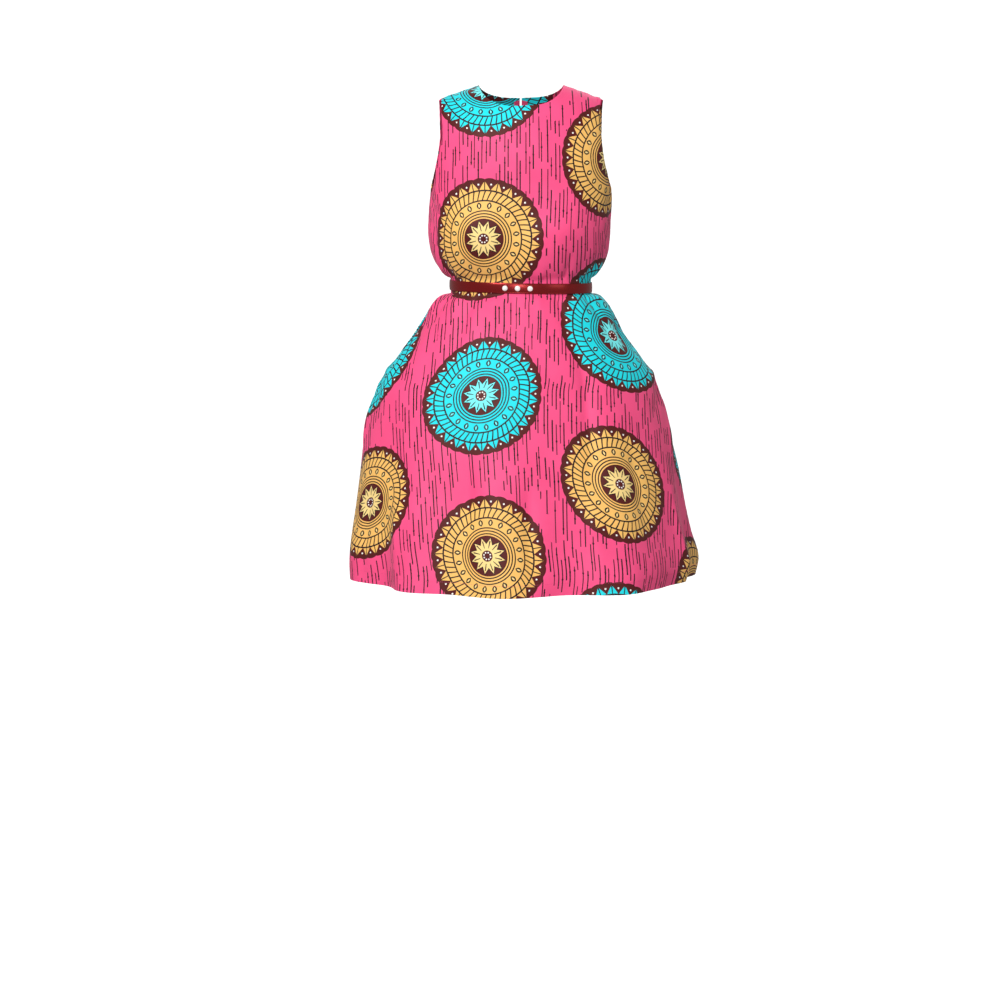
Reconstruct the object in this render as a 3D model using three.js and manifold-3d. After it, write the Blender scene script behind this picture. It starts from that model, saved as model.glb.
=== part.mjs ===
// A sleeveless fit-and-flare dress, open and hollow, in the shape it has when it is worn.
// Millimetres, +Z up, front towards -Y, the wearer's left at +X, origin midway between the shoulders.
//
// Every cloth piece is a wall on one form. A place on the form is an angle round the body (0 at the
// centre front, a quarter turn at the wearer's left side seam) and a level, which is the height up to
// the chest and then runs on along the arc that closes the form over the shoulders.
import * as THREE from 'three';
import { mergeVertices } from 'three/addons/utils/BufferGeometryUtils.js';
import Module from 'manifold-3d';

const wasm = await Module();
wasm.setup();

// ---------------------------------------------------------------- driving sizes

const CLOTH_WALL = 1.6;
const POCKET_WALL = 1.2;
const SEAM_GAP = 0.3;
const LAYER_GAP = 0.9;          // between a panel and what lies inside it
const WAIST = -331;
const HEM = -835;
const CHEST = -150;
const SHOULDER_ARC = 200;
const SHOULDER_TOP = CHEST + SHOULDER_ARC;
const SHOULDER_TRIM = 0.45;
const SHOULDER_PEAK = 36;
const SHOULDER_SLOPE = 0.344;
const UNDERARM = -172;
const NECK_HALF = 72;
const NECK_FRONT = -25;
const NECK_BACK = -8;

// Level sections of the dress: half width, depth before and behind the shoulder line, how far the
// middle stands to the left, and the power of the section's superellipse.
const SECTIONS = [
  { z: -835, half: 303, front: 240, back: 247, shift: 6, square: 2.0 },
  { z: -808, half: 306, front: 234, back: 242, shift: 8, square: 2.0 },
  { z: -756, half: 297, front: 222, back: 230, shift: 3, square: 2.0 },
  { z: -714, half: 289, front: 212, back: 221, shift: 1, square: 2.0 },
  { z: -661, half: 280, front: 198, back: 208, shift: -1, square: 2.0 },
  { z: -588, half: 267, front: 178, back: 190, shift: -5, square: 2.0 },
  { z: -546, half: 257, front: 166, back: 178, shift: -6, square: 2.0 },
  { z: -504, half: 244, front: 152, back: 165, shift: -6, square: 2.0 },
  { z: -481, half: 231, front: 144, back: 156, shift: -3, square: 2.0 },
  { z: -445, half: 206, front: 131, back: 142, shift: -2, square: 2.0 },
  { z: -413, half: 182, front: 120, back: 128, shift: -2, square: 2.0 },
  { z: -390, half: 169, front: 112, back: 117, shift: -1, square: 2.05 },
  { z: -357, half: 147, front: 101, back: 98, shift: -1, square: 2.1 },
  { z: -347, half: 133, front: 96, back: 91, shift: 0, square: 2.15 },
  { z: -343, half: 121, front: 92, back: 84, shift: 0, square: 2.2 },
  { z: -319, half: 121, front: 92, back: 84, shift: 0, square: 2.2 },
  { z: -305, half: 135, front: 100, back: 88, shift: -1, square: 2.2 },
  { z: -287, half: 147, front: 107, back: 92, shift: -2, square: 2.25 },
  { z: -265, half: 154, front: 111, back: 96, shift: -2, square: 2.3 },
  { z: -235, half: 157, front: 113, back: 99, shift: -2, square: 2.3 },
  { z: -200, half: 157, front: 110, back: 101, shift: -1, square: 2.3 },
  { z: -170, half: 156, front: 108, back: 101, shift: 0, square: 2.3 },
  { z: CHEST, half: 155, front: 107, back: 100, shift: 0, square: 2.3 },
];

// Half width between the armhole edges at each height, as seen from the front.
const ARMHOLE = [
  { z: -172, half: 155 },
  { z: -166, half: 152 },
  { z: -150, half: 148 },
  { z: -130, half: 144 },
  { z: -100, half: 138 },
  { z: -72, half: 135 },
  { z: SHOULDER_TOP, half: 136 },
];
const BACK_ARMHOLE_EXTRA = 5;

// Fullness that the front darts give on each side of the centre.
const CUP = { x: 80, z: -238, spread: 46, lift: 13 };

// The largest folds of the skirt: the angle where each starts, how far it leans by the hem, its half
// width, how far it stands out at the hem (inwards is negative) and the height where it begins.
const FOLDS = [
  { at: -8, lean: 1, spread: 10, depth: 13, from: -500 },
  { at: 17, lean: -3, spread: 11, depth: -17, from: -395 },
  { at: 36, lean: -3, spread: 9, depth: 13, from: -430 },
  { at: 57, lean: 1, spread: 10, depth: -9, from: -520 },
  { at: 76, lean: 2, spread: 7, depth: -15, from: -560 },
  { at: -25, lean: -2, spread: 9, depth: -8, from: -400 },
  { at: -40, lean: 0, spread: 9, depth: 10, from: -480 },
  { at: -57, lean: 2, spread: 9, depth: -17, from: -520 },
  { at: -75, lean: 1, spread: 8, depth: 8, from: -540 },
  { at: 108, lean: 3, spread: 9, depth: -14, from: -500 },
  { at: 127, lean: 0, spread: 10, depth: 13, from: -450 },
  { at: 146, lean: -2, spread: 10, depth: -19, from: -410 },
  { at: 166, lean: 1, spread: 9, depth: 9, from: -470 },
  { at: 197, lean: 2, spread: 9, depth: -15, from: -440 },
  { at: 217, lean: -2, spread: 10, depth: 14, from: -420 },
  { at: 237, lean: 1, spread: 9, depth: -18, from: -470 },
  { at: 257, lean: 0, spread: 8, depth: -6, from: -560 },
];
const FOLD_GROWTH = 1.35;

// The bag starts just before the front edge of the mouth and ends just behind its back edge.
const POCKET_MOUTH = { top: -356, bottom: -492, frontGape: 12, backGape: 6, frontLap: -2, backLap: 4 };
const MOUTH_CUT = { past: 8, trim: 1, out: 3, deep: 6.5 };

// Outline of a pocket bag: how far it reaches forward of the side seam, and how full it hangs.
const POCKET_BAG = [
  { z: -352, reach: 28, full: 1 },
  { z: -375, reach: 62, full: 8 },
  { z: -414, reach: 94, full: 15 },
  { z: -446, reach: 112, full: 18 },
  { z: -492, reach: 124, full: 15 },
  { z: -520, reach: 123, full: 12 },
  { z: -560, reach: 106, full: 8 },
  { z: -585, reach: 72, full: 4 },
  { z: -600, reach: 24, full: 1 },
];

const ZIP = { drop: 3, bottom: -505, tapeHalf: 12, tapeWall: 1.0, slitHalf: 1.9, slitBottom: -44 };
const SLIT_CUT = { depth: 80, forward: 20, above: 20 };
const SLIDER = { z: -34, neckWidth: 2.2, neckLength: 6, bodyWidth: 8, bodyLength: 10, bodyWall: 2.2 };
const CROWN = { width: 4.6, length: 8.5, wall: 0.8, height: 0.6 };
const BRIDGE = { width: 1.8, length: 6.5, rise: 3.2, eyeRadius: 1.0, eyeLift: 0.1 };
const PULL = {
  length: 26, armTop: 0.7, neckBottom: -6, topWidth: 5.2, bottomWidth: 7.2, wall: 1.0, barRadius: 0.55,
};
const PULL_FORK = { clearance: 1.1, lift: -0.4 };
const PULL_HOLE = 1.7;

const BELT = { z: -331, width: 17.5, wall: 2.0, clearance: 0.4, tilt: 0.0195, overlap: 34, tip: 9 };
const STUD = { radius: 4.6, rise: 2.6, spacing: 21, middle: -6.3 };
const SNAP = { radius: 5.0, rise: 2.0 };
const DOME_RIM = 0.3;           // share of a dome's rise that is its upright rim

const CLOTH_LOOK = { color: 0xf25a92, roughness: 0.75, metalness: 0 };
const POCKET_LOOK = { color: 0xd9507f, roughness: 0.8, metalness: 0 };
const TAPE_LOOK = { color: 0xc8446f, roughness: 0.8, metalness: 0 };
const METAL_LOOK = { color: 0xc9c9cd, roughness: 0.3, metalness: 1 };
const PATENT_LOOK = { color: 0xa30f12, roughness: 0.15, metalness: 0 };
const STUD_LOOK = { color: 0xf7f5f2, roughness: 0.2, metalness: 0 };

// ---------------------------------------------------------------- the form

const radians = THREE.MathUtils.degToRad;
const clamp = THREE.MathUtils.clamp;
const lerp = THREE.MathUtils.lerp;
const signedPower = (value, power) => Math.sign(value) * Math.abs(value) ** power;

// A smooth curve through one column of a table whose rows are sorted by z. It runs out upright at its top.
function column(rows, key, z) {
  const last = rows.length - 1;
  const up = rows[last].z > rows[0].z;
  const list = up ? rows : [...rows].reverse();
  const height = clamp(z, list[0].z, list[last].z);
  let i = 0;
  while (i < last - 1 && list[i + 1].z < height) i += 1;
  const secant = (k) => (list[k + 1][key] - list[k][key]) / (list[k + 1].z - list[k].z);
  const slope = (k) => {
    if (k === 0) return secant(0);
    if (k === last) return 0;
    const before = secant(k - 1);
    const after = secant(k);
    return before * after <= 0 ? 0 : (2 * before * after) / (before + after);
  };
  const span = list[i + 1].z - list[i].z;
  const f = (height - list[i].z) / span;
  const ease = f * f * (3 - 2 * f);
  const start = f * (1 - f) * (1 - f) * span * slope(i);
  const end = f * f * (1 - f) * span * slope(i + 1);
  return lerp(list[i][key], list[i + 1][key], ease) + start - end;
}

// How far the folds push the skirt out at one angle (radians) and height.
function foldDepth(angle, z) {
  let total = 0;
  for (const fold of FOLDS) {
    const down = clamp((fold.from - z) / (fold.from - HEM), 0, 1);
    const middle = radians(fold.at + fold.lean * down);
    const away = Math.atan2(Math.sin(angle - middle), Math.cos(angle - middle));
    total += fold.depth * down ** FOLD_GROWTH * Math.exp(-((away / radians(fold.spread)) ** 2));
  }
  return total;
}

function formPoint(angle, level) {
  const z = Math.min(level, CHEST);
  const power = 2 / column(SECTIONS, 'square', z);
  const sine = Math.sin(angle);
  const cosine = Math.cos(angle);
  const closing = (Math.max(0, level - CHEST) / SHOULDER_ARC) * (Math.PI / 2);
  const x = column(SECTIONS, 'half', z) * signedPower(sine, power);
  const depth = column(SECTIONS, cosine > 0 ? 'front' : 'back', z);
  const cup = CUP.lift * Math.max(0, cosine)
    * Math.exp(-(((Math.abs(x) - CUP.x) / CUP.spread) ** 2) - ((z - CUP.z) / CUP.spread) ** 2);
  const y = -(depth * signedPower(cosine, power) + cup) * Math.cos(closing);
  const out = foldDepth(angle, z);
  const rise = (SHOULDER_PEAK - SHOULDER_SLOPE * Math.abs(x) - CHEST) * Math.sin(closing);
  return new THREE.Vector3(
    x + column(SECTIONS, 'shift', z) + out * sine,
    y - out * cosine,
    z + rise,
  );
}

function formNormal(angle, level) {
  const turn = 0.004;
  const step = 0.5;
  const round = formPoint(angle + turn, level).sub(formPoint(angle - turn, level));
  const up = formPoint(angle, level + step).sub(formPoint(angle, level - step));
  return round.cross(up).normalize();
}

// A point that stands off the form by a distance, outwards.
function offForm(angle, level, distance) {
  return formPoint(angle, level).addScaledVector(formNormal(angle, level), distance);
}

// The angle, from the nearer of the centre front and the centre back, at which the form is this far
// from its middle.
function angleAtHalf(half, level) {
  const z = Math.min(level, CHEST);
  const power = 2 / column(SECTIONS, 'square', z);
  const share = clamp(half / column(SECTIONS, 'half', z), 0, 1);
  return Math.asin(share ** (1 / power));
}

function solve(low, high, test) {
  let [from, to] = [low, high];
  for (let step = 0; step < 40; step += 1) {
    const middle = (from + to) / 2;
    if (test(middle)) to = middle;
    else from = middle;
  }
  return (from + to) / 2;
}

// ---------------------------------------------------------------- closed meshes

// A closed body from rings of points: each ring has the same count, and the ends are fans.
function ringBody(rings) {
  const count = rings[0].length;
  const points = rings.flat();
  const faces = [];
  for (let r = 0; r < rings.length - 1; r += 1) {
    for (let i = 0; i < count; i += 1) {
      const a = r * count + i;
      const b = r * count + ((i + 1) % count);
      faces.push([a, b, b + count], [a, b + count, a + count]);
    }
  }
  const centre = (ring) => ring.reduce((sum, p) => sum.add(p), new THREE.Vector3()).divideScalar(count);
  const ends = [0, rings.length - 1];
  for (const end of ends) {
    const hub = points.push(centre(rings[end])) - 1;
    for (let i = 0; i < count; i += 1) {
      const a = end * count + i;
      const b = end * count + ((i + 1) % count);
      faces.push(end === 0 ? [b, a, hub] : [a, b, hub]);
    }
  }
  return geometryFrom(points, faces);
}

function geometryFrom(points, faces) {
  const geometry = new THREE.BufferGeometry();
  const flat = points.flatMap((p) => [p.x, p.y, p.z]);
  geometry.setAttribute('position', new THREE.Float32BufferAttribute(flat, 3));
  geometry.setIndex(faces.flat());
  geometry.computeVertexNormals();
  return geometry;
}

// A wall on the form. place(u, v) gives an angle and a level, outside(u, v) how far the outer face
// stands off the form. u runs with the angle and v runs up.
function wallOnForm({ columns, rows, place, outside = () => 0, wall = CLOTH_WALL }) {
  const points = [];
  for (const inwards of [0, wall]) {
    for (const v of rows) {
      for (const u of columns) {
        const [angle, level] = place(u, v);
        points.push(offForm(angle, level, outside(u, v) - inwards));
      }
    }
  }
  const [nu, nv] = [columns.length, rows.length];
  const at = (i, j, side) => side * nu * nv + j * nu + i;
  const faces = [];
  const quad = (a, b, c, d) => faces.push([a, b, c], [a, c, d]);
  for (let j = 0; j < nv - 1; j += 1) {
    for (let i = 0; i < nu - 1; i += 1) {
      quad(at(i, j, 0), at(i + 1, j, 0), at(i + 1, j + 1, 0), at(i, j + 1, 0));
      quad(at(i, j, 1), at(i, j + 1, 1), at(i + 1, j + 1, 1), at(i + 1, j, 1));
    }
  }
  for (let i = 0; i < nu - 1; i += 1) {
    quad(at(i, 0, 1), at(i + 1, 0, 1), at(i + 1, 0, 0), at(i, 0, 0));
    quad(at(i, nv - 1, 0), at(i + 1, nv - 1, 0), at(i + 1, nv - 1, 1), at(i, nv - 1, 1));
  }
  for (let j = 0; j < nv - 1; j += 1) {
    quad(at(0, j, 0), at(0, j + 1, 0), at(0, j + 1, 1), at(0, j, 1));
    quad(at(nu - 1, j, 1), at(nu - 1, j + 1, 1), at(nu - 1, j + 1, 0), at(nu - 1, j, 0));
  }
  return geometryFrom(points, faces);
}

const steps = (from, to, count) => Array.from({ length: count + 1 }, (_, i) => lerp(from, to, i / count));

function toSolid(geometry) {
  const bare = geometry.clone();
  bare.deleteAttribute('normal');
  bare.deleteAttribute('uv');
  const merged = mergeVertices(bare, 1e-4);
  return new wasm.Manifold(new wasm.Mesh({
    numProp: 3,
    vertProperties: new Float32Array(merged.attributes.position.array),
    triVerts: new Uint32Array(merged.index.array),
  }));
}

function toGeometry(solid) {
  const mesh = solid.getMesh();
  const geometry = new THREE.BufferGeometry();
  geometry.setAttribute('position', new THREE.BufferAttribute(mesh.vertProperties, 3));
  geometry.setIndex(new THREE.BufferAttribute(mesh.triVerts, 1));
  geometry.computeVertexNormals();
  return geometry;
}

function namedMesh(name, geometry, look) {
  const mesh = new THREE.Mesh(geometry, new THREE.MeshStandardMaterial(look));
  mesh.name = name;
  return mesh;
}

// ---------------------------------------------------------------- bodice

// Height of the neck edge at a distance from the middle, falling from the neck point to its lowest.
function neckEdge(x, lowest) {
  const neckPoint = SHOULDER_PEAK - SHOULDER_SLOPE * NECK_HALF;
  const share = clamp(Math.abs(x) / NECK_HALF, 0, 1);
  return neckPoint - (neckPoint - lowest) * (1 - share ** 3) ** (2 / 3);
}

function armholeAngle(level, extra) {
  if (level <= UNDERARM) return Math.PI / 2;
  const half = Math.min(column(ARMHOLE, 'half', level) + extra, column(SECTIONS, 'half', Math.min(level, CHEST)));
  return angleAtHalf(half, level);
}

// Half of the seam gap, as an angle at the side, where the form turns with its depth.
const sideTrim = (level, gap) => gap / column(SECTIONS, 'front', Math.min(level, CHEST));

// The level where a column of a bodice panel ends: the shoulder seam, or the neck edge.
function columnTop(angleOf, u, lowest) {
  const seam = SHOULDER_TOP - SHOULDER_TRIM;
  const above = (level) => {
    const p = formPoint(angleOf(u, level), level);
    return p.z > neckEdge(p.x, lowest);
  };
  const ridge = formPoint(angleOf(u, seam), seam);
  if (Math.abs(ridge.x) >= NECK_HALF) return seam;
  return Math.min(seam, solve(CHEST, seam, above));
}

// Rows of a bodice panel: levels up to the chest, then shares of the way on to the panel's edge. They
// are close together at the waist, at the underarm and at the foot of the slit for the slider.
const BODICE_BOTTOM = WAIST + SEAM_GAP / 2;
const BODICE_LEVELS = [BODICE_BOTTOM, -319, -312, -303, -290, -270, -245, -215, -190, UNDERARM, -166, CHEST];
const YOKE_SHARES = [0.2, 0.42, 0.636, 0.69, 0.85, 1];

function bodicePanel(angleOf, columns, lowest) {
  const tops = new Map(columns.map((u) => [u, columnTop(angleOf, u, lowest)]));
  const rows = [
    ...BODICE_LEVELS.map((level) => () => level),
    ...YOKE_SHARES.map((share) => (u) => lerp(CHEST, tops.get(u), share)),
  ];
  return wallOnForm({ columns, rows, place: (u, levelOf) => [angleOf(u, levelOf(u)), levelOf(u)] });
}

function bodiceFront() {
  const angleOf = (u, level) => u * (armholeAngle(level, 0) - sideTrim(level, SEAM_GAP / 2));
  const neckPoint = solve(0, 1, (u) => formPoint(angleOf(u, SHOULDER_TOP), SHOULDER_TOP).x > NECK_HALF);
  const across = steps(-Math.PI / 2, Math.PI / 2, 12).map((turn) => neckPoint * Math.sin(turn));
  const columns = [
    ...steps(-1, -neckPoint, 5).slice(0, -1),
    ...across,
    ...steps(neckPoint, 1, 5).slice(1),
  ];
  return namedMesh('bodice_front', bodicePanel(angleOf, columns, NECK_FRONT), CLOTH_LOOK);
}

// The level at which the centre back reaches a height.
const centreBackLevel = (height) => solve(CHEST, SHOULDER_TOP, (level) => formPoint(Math.PI, level).z > height);
const SLIT_LEVEL = centreBackLevel(ZIP.slitBottom);

// Distance of a back panel's edge from the centre back: a seam gap, wider where the slider passes.
function centreBackHalf(level) {
  const open = THREE.MathUtils.smoothstep(level, SLIT_LEVEL - 6, SLIT_LEVEL);
  return lerp(SEAM_GAP / 2, ZIP.slitHalf, open);
}

// side is 1 on the wearer's left and -1 on the right. u runs with the angle.
function bodiceBack(side) {
  const nearSide = (level) => armholeAngle(level, BACK_ARMHOLE_EXTRA) - sideTrim(level, SEAM_GAP / 2);
  const nearCentre = (level) => angleAtHalf(centreBackHalf(level), level);
  const angleOf = (u, level) => Math.PI - side * lerp(nearCentre(level), nearSide(level), side > 0 ? 1 - u : u);
  const inside = (u) => Math.abs(formPoint(angleOf(u, SHOULDER_TOP), SHOULDER_TOP).x) < NECK_HALF;
  const neckPoint = solve(0, 1, (u) => (side > 0 ? inside(u) : !inside(u)));
  const neckEnd = side > 0 ? 1 : 0;
  const under = steps(0, Math.PI / 2, 6).map((turn) => lerp(neckEnd, neckPoint, Math.sin(turn)));
  const beside = steps(neckPoint, 1 - neckEnd, 5).slice(1);
  const columns = [...under, ...beside].sort((a, b) => a - b);
  const name = side > 0 ? 'bodice_back_left' : 'bodice_back_right';
  return namedMesh(name, bodicePanel(angleOf, columns, NECK_BACK), CLOTH_LOOK);
}

// ---------------------------------------------------------------- skirt

// 1 in the middle of the pocket mouth and 0 at its ends and beyond.
function mouthOpening(z) {
  const share = clamp((POCKET_MOUTH.top - z) / (POCKET_MOUTH.top - POCKET_MOUTH.bottom), 0, 1);
  return Math.sin(share * Math.PI) ** 0.8;
}

const frontSideGap = (z) => SEAM_GAP / 2 + POCKET_MOUTH.frontGape * mouthOpening(z);
const backSideGap = (z) => SEAM_GAP / 2 + POCKET_MOUTH.backGape * mouthOpening(z);

const SKIRT_TOP = WAIST - SEAM_GAP / 2;
const SKIRT_LEVELS = [HEM, -770, -705, -650, -600, -560, -520, -492, -446, -414, -392, -375, -357, -347, -343,
  SKIRT_TOP];

function skirtPanel(angleOf, columns) {
  return wallOnForm({ columns, rows: SKIRT_LEVELS, place: (u, level) => [angleOf(u, level), level] });
}

function skirtFront() {
  const angleOf = (u, level) => u * (Math.PI / 2 - sideTrim(level, frontSideGap(level)));
  return namedMesh('skirt_front', skirtPanel(angleOf, steps(-1, 1, 38)), CLOTH_LOOK);
}

function skirtBack(side) {
  const nearSide = (level) => Math.PI / 2 - sideTrim(level, backSideGap(level));
  const nearCentre = (level) => angleAtHalf(SEAM_GAP / 2, level);
  const angleOf = (u, level) => Math.PI - side * lerp(nearCentre(level), nearSide(level), side > 0 ? 1 - u : u);
  const name = side > 0 ? 'skirt_back_left' : 'skirt_back_right';
  return namedMesh(name, skirtPanel(angleOf, steps(0, 1, 19)), CLOTH_LOOK);
}

// ---------------------------------------------------------------- pockets

const LAYER_STEPS = 5;

// One bag-shaped body inside the side seam. inset is how far its faces lie inside the bag's outer
// faces: 0 for the bag and its wall for the hollow.
function bagBody(side, inset) {
  const rows = POCKET_BAG.slice(inset > 0 ? 1 : 0, inset > 0 ? -1 : undefined);
  const outer = CLOTH_WALL + LAYER_GAP;
  const rings = rows.map(({ z, reach, full }) => {
    const depthOf = column(SECTIONS, 'front', z);
    const start = Math.PI / 2 - (frontSideGap(z) + POCKET_MOUTH.frontLap + inset) / depthOf;
    const end = start - (reach - 2 * inset) / column(SECTIONS, 'half', z);
    const back = Math.PI / 2 + (backSideGap(z) + POCKET_MOUTH.backLap - inset) / depthOf;
    const front = steps(0, 1, LAYER_STEPS).map((a) => offForm(side * lerp(start, end, a), z, -outer - inset));
    const rear = steps(1, 0, LAYER_STEPS).map((a) => {
      const hang = 3 * POCKET_WALL + full * Math.sin(Math.PI * a ** 0.55) ** 0.9;
      return offForm(side * lerp(back, end, a), z, -outer - hang + inset);
    });
    const ring = [...front, ...rear];
    return side > 0 ? ring : ring.reverse();
  });
  return toSolid(ringBody(rings));
}

// A bar along the mouth, which opens the bag between the two edges of the side seam.
function mouthCutter(side) {
  const { past, trim, out, deep } = MOUTH_CUT;
  const heights = steps(POCKET_MOUTH.top - past, POCKET_MOUTH.bottom + past, 8);
  const rings = heights.map((z) => {
    const depthOf = column(SECTIONS, 'front', z);
    const front = Math.PI / 2 - (frontSideGap(z) - trim) / depthOf;
    const back = Math.PI / 2 + (backSideGap(z) - trim) / depthOf;
    const ring = [[front, out], [front, -deep], [back, -deep], [back, out]];
    const points = ring.map(([angle, distance]) => offForm(side * angle, z, distance));
    return side > 0 ? points : points.reverse();
  });
  return toSolid(ringBody(rings));
}

function pocket(side) {
  const bag = bagBody(side, 0).subtract(bagBody(side, POCKET_WALL)).subtract(mouthCutter(side));
  return namedMesh(side > 0 ? 'pocket_left' : 'pocket_right', toGeometry(bag), POCKET_LOOK);
}

// ---------------------------------------------------------------- zip

// The strip takes its rows from the back panels that it lies inside.
function zipTape() {
  const neck = centreBackLevel(NECK_BACK);
  const skirtLevels = SKIRT_LEVELS.filter((level) => level > ZIP.bottom);
  const yokeLevels = YOKE_SHARES.slice(0, -1).map((share) => lerp(CHEST, neck, share));
  const strip = toSolid(wallOnForm({
    columns: [1, 0.3, -0.3, -1],
    rows: [ZIP.bottom, ...skirtLevels, ...BODICE_LEVELS.slice(1), ...yokeLevels, neck - ZIP.drop],
    place: (u, level) => [Math.PI - Math.sign(u) * angleAtHalf(Math.abs(u) * ZIP.tapeHalf, level), level],
    outside: () => -(CLOTH_WALL + LAYER_GAP),
    wall: ZIP.tapeWall,
  }));
  const slitHeight = NECK_BACK - ZIP.slitBottom + SLIT_CUT.above;
  const slit = new THREE.BoxGeometry(2 * ZIP.slitHalf, SLIT_CUT.depth, slitHeight);
  slit.translate(0, formPoint(Math.PI, CHEST).y - SLIT_CUT.forward, ZIP.slitBottom + slitHeight / 2);
  return namedMesh('zip_tape', toGeometry(strip.subtract(toSolid(slit))), TAPE_LOOK);
}

// Where the slider sits: its point on the cloth's outer face, and the lean of that face.
function sliderPlace() {
  const level = centreBackLevel(SLIDER.z);
  const normal = formNormal(Math.PI, level);
  return { point: formPoint(Math.PI, level), lean: Math.atan2(normal.z, normal.y) };
}

// In the slider's own frame +Y points out of the cloth and +Z up along it.
function box(x, y, z, [cx, cy, cz]) {
  const geometry = new THREE.BoxGeometry(x, y, z);
  geometry.translate(cx, cy, cz);
  return toSolid(geometry);
}

function crossBar(radius, length, [cy, cz]) {
  const geometry = new THREE.CylinderGeometry(radius, radius, length, 16);
  geometry.rotateZ(Math.PI / 2);
  geometry.translate(0, cy, cz);
  return toSolid(geometry);
}

const HINGE_HEIGHT = CROWN.height + BRIDGE.rise / 2;

function zipSlider() {
  const behind = -(CLOTH_WALL + LAYER_GAP + ZIP.tapeWall + LAYER_GAP);
  const neckDepth = CROWN.height - behind + SLIDER.bodyWall;
  const neckMiddle = (CROWN.height + behind - SLIDER.bodyWall) / 2;
  const body = box(SLIDER.bodyWidth, SLIDER.bodyWall, SLIDER.bodyLength, [0, behind - SLIDER.bodyWall / 2, 0]);
  const neck = box(SLIDER.neckWidth, neckDepth, SLIDER.neckLength, [0, neckMiddle, 0]);
  const crown = box(CROWN.width, CROWN.wall, CROWN.length, [0, CROWN.height, 0]);
  const bridge = box(BRIDGE.width, BRIDGE.rise, BRIDGE.length, [0, HINGE_HEIGHT, 0]);
  const eye = crossBar(BRIDGE.eyeRadius, 3 * BRIDGE.width, [HINGE_HEIGHT + BRIDGE.eyeLift, 0]);
  return toGeometry(body.add(neck).add(crown).add(bridge).subtract(eye));
}

function zipPull() {
  const bar = crossBar(PULL.barRadius, PULL.topWidth, [0, 0]);
  const half = { top: PULL.topWidth / 2, bottom: PULL.bottomWidth / 2 };
  const outline = new THREE.Shape();
  outline.moveTo(-half.top, PULL.armTop);
  outline.lineTo(-half.top, PULL.neckBottom);
  outline.lineTo(-half.bottom, -PULL.length + half.bottom);
  outline.absarc(0, -PULL.length + half.bottom, half.bottom, Math.PI, 2 * Math.PI, false);
  outline.lineTo(half.top, PULL.neckBottom);
  outline.lineTo(half.top, PULL.armTop);
  outline.closePath();
  const plate = new THREE.ExtrudeGeometry(outline, { depth: PULL.wall, bevelEnabled: false, curveSegments: 8 });
  plate.translate(0, 0, -PULL.wall / 2);
  plate.rotateX(Math.PI / 2);
  const forkWidth = BRIDGE.width + PULL_FORK.clearance;
  const fork = box(forkWidth, 3 * PULL.wall, 2 * BRIDGE.length, [0, 0, PULL_FORK.lift]);
  const hole = new THREE.CylinderGeometry(PULL_HOLE, PULL_HOLE, 3 * PULL.wall, 20);
  hole.translate(0, 0, -PULL.length + half.bottom);
  return toGeometry(toSolid(plate).subtract(fork).subtract(toSolid(hole)).add(bar));
}

function zipHead() {
  const { point, lean } = sliderPlace();
  const head = new THREE.Group();
  head.position.copy(point);
  head.rotation.x = lean;
  head.add(namedMesh('zip_slider', zipSlider(), METAL_LOOK));
  const pull = namedMesh('zip_pull', zipPull(), METAL_LOOK);
  pull.position.set(0, HINGE_HEIGHT, 0);
  head.add(pull);
  return head;
}

// ---------------------------------------------------------------- belt

// The strap starts and ends past the centre back, and its outer end lies on its inner end.
const BELT_GIRTH_RADIUS = 100;
const BELT_PAST = BELT.overlap / BELT_GIRTH_RADIUS;
const BELT_START = -Math.PI - BELT_PAST / 2;
const BELT_END = Math.PI + BELT_PAST / 2;
const BELT_RAMP = 0.12;
const TIP_LEAST = 0.12;         // keeps the rounded end of the strap from running to a point

const beltLevel = (angle, across) => BELT.z - BELT.tilt * formPoint(angle, BELT.z).x + across * BELT.width;

// How far the strap's outer face stands off the form.
function beltOutside(u) {
  const lap = THREE.MathUtils.smoothstep(u, 1 - 2 * BELT_RAMP, 1 - BELT_RAMP);
  return BELT.clearance + BELT.wall + lap * (BELT.wall + SEAM_GAP);
}

function beltStrap() {
  const length = BELT_GIRTH_RADIUS * (BELT_END - BELT_START);
  const round = (u) => {
    const left = clamp((1 - u) * length, 0, BELT.tip) / BELT.tip;
    return Math.sqrt(Math.max(TIP_LEAST, 1 - (1 - left) ** 2));
  };
  const columns = [...steps(0, 0.97, 76), 0.98, 0.987, 0.993, 1];
  const place = (u, v) => {
    const angle = lerp(BELT_START, BELT_END, u);
    return [angle, beltLevel(angle, (v - 0.5) * round(u))];
  };
  const strap = wallOnForm({ columns, rows: [0, 1], place, outside: beltOutside, wall: BELT.wall });
  return namedMesh('belt_strap', strap, PATENT_LOOK);
}

// A low dome that stands on the strap's outer face.
function dome(name, { radius, rise }, angle, standOff, look) {
  const rim = rise * DOME_RIM;
  const arc = steps(0, Math.PI / 2, 5).map((a) => new THREE.Vector2(
    Math.max(0, radius * Math.cos(a)),
    rim + (rise - rim) * Math.sin(a),
  ));
  arc[arc.length - 1].x = 0;
  const profile = [new THREE.Vector2(0, 0), new THREE.Vector2(radius, 0), ...arc];
  const mesh = namedMesh(name, new THREE.LatheGeometry(profile, 20), look);
  const level = beltLevel(angle, 0);
  const normal = formNormal(angle, level);
  mesh.position.copy(formPoint(angle, level)).addScaledVector(normal, standOff + SEAM_GAP);
  mesh.quaternion.setFromUnitVectors(new THREE.Vector3(0, 1, 0), normal);
  return mesh;
}

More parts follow.
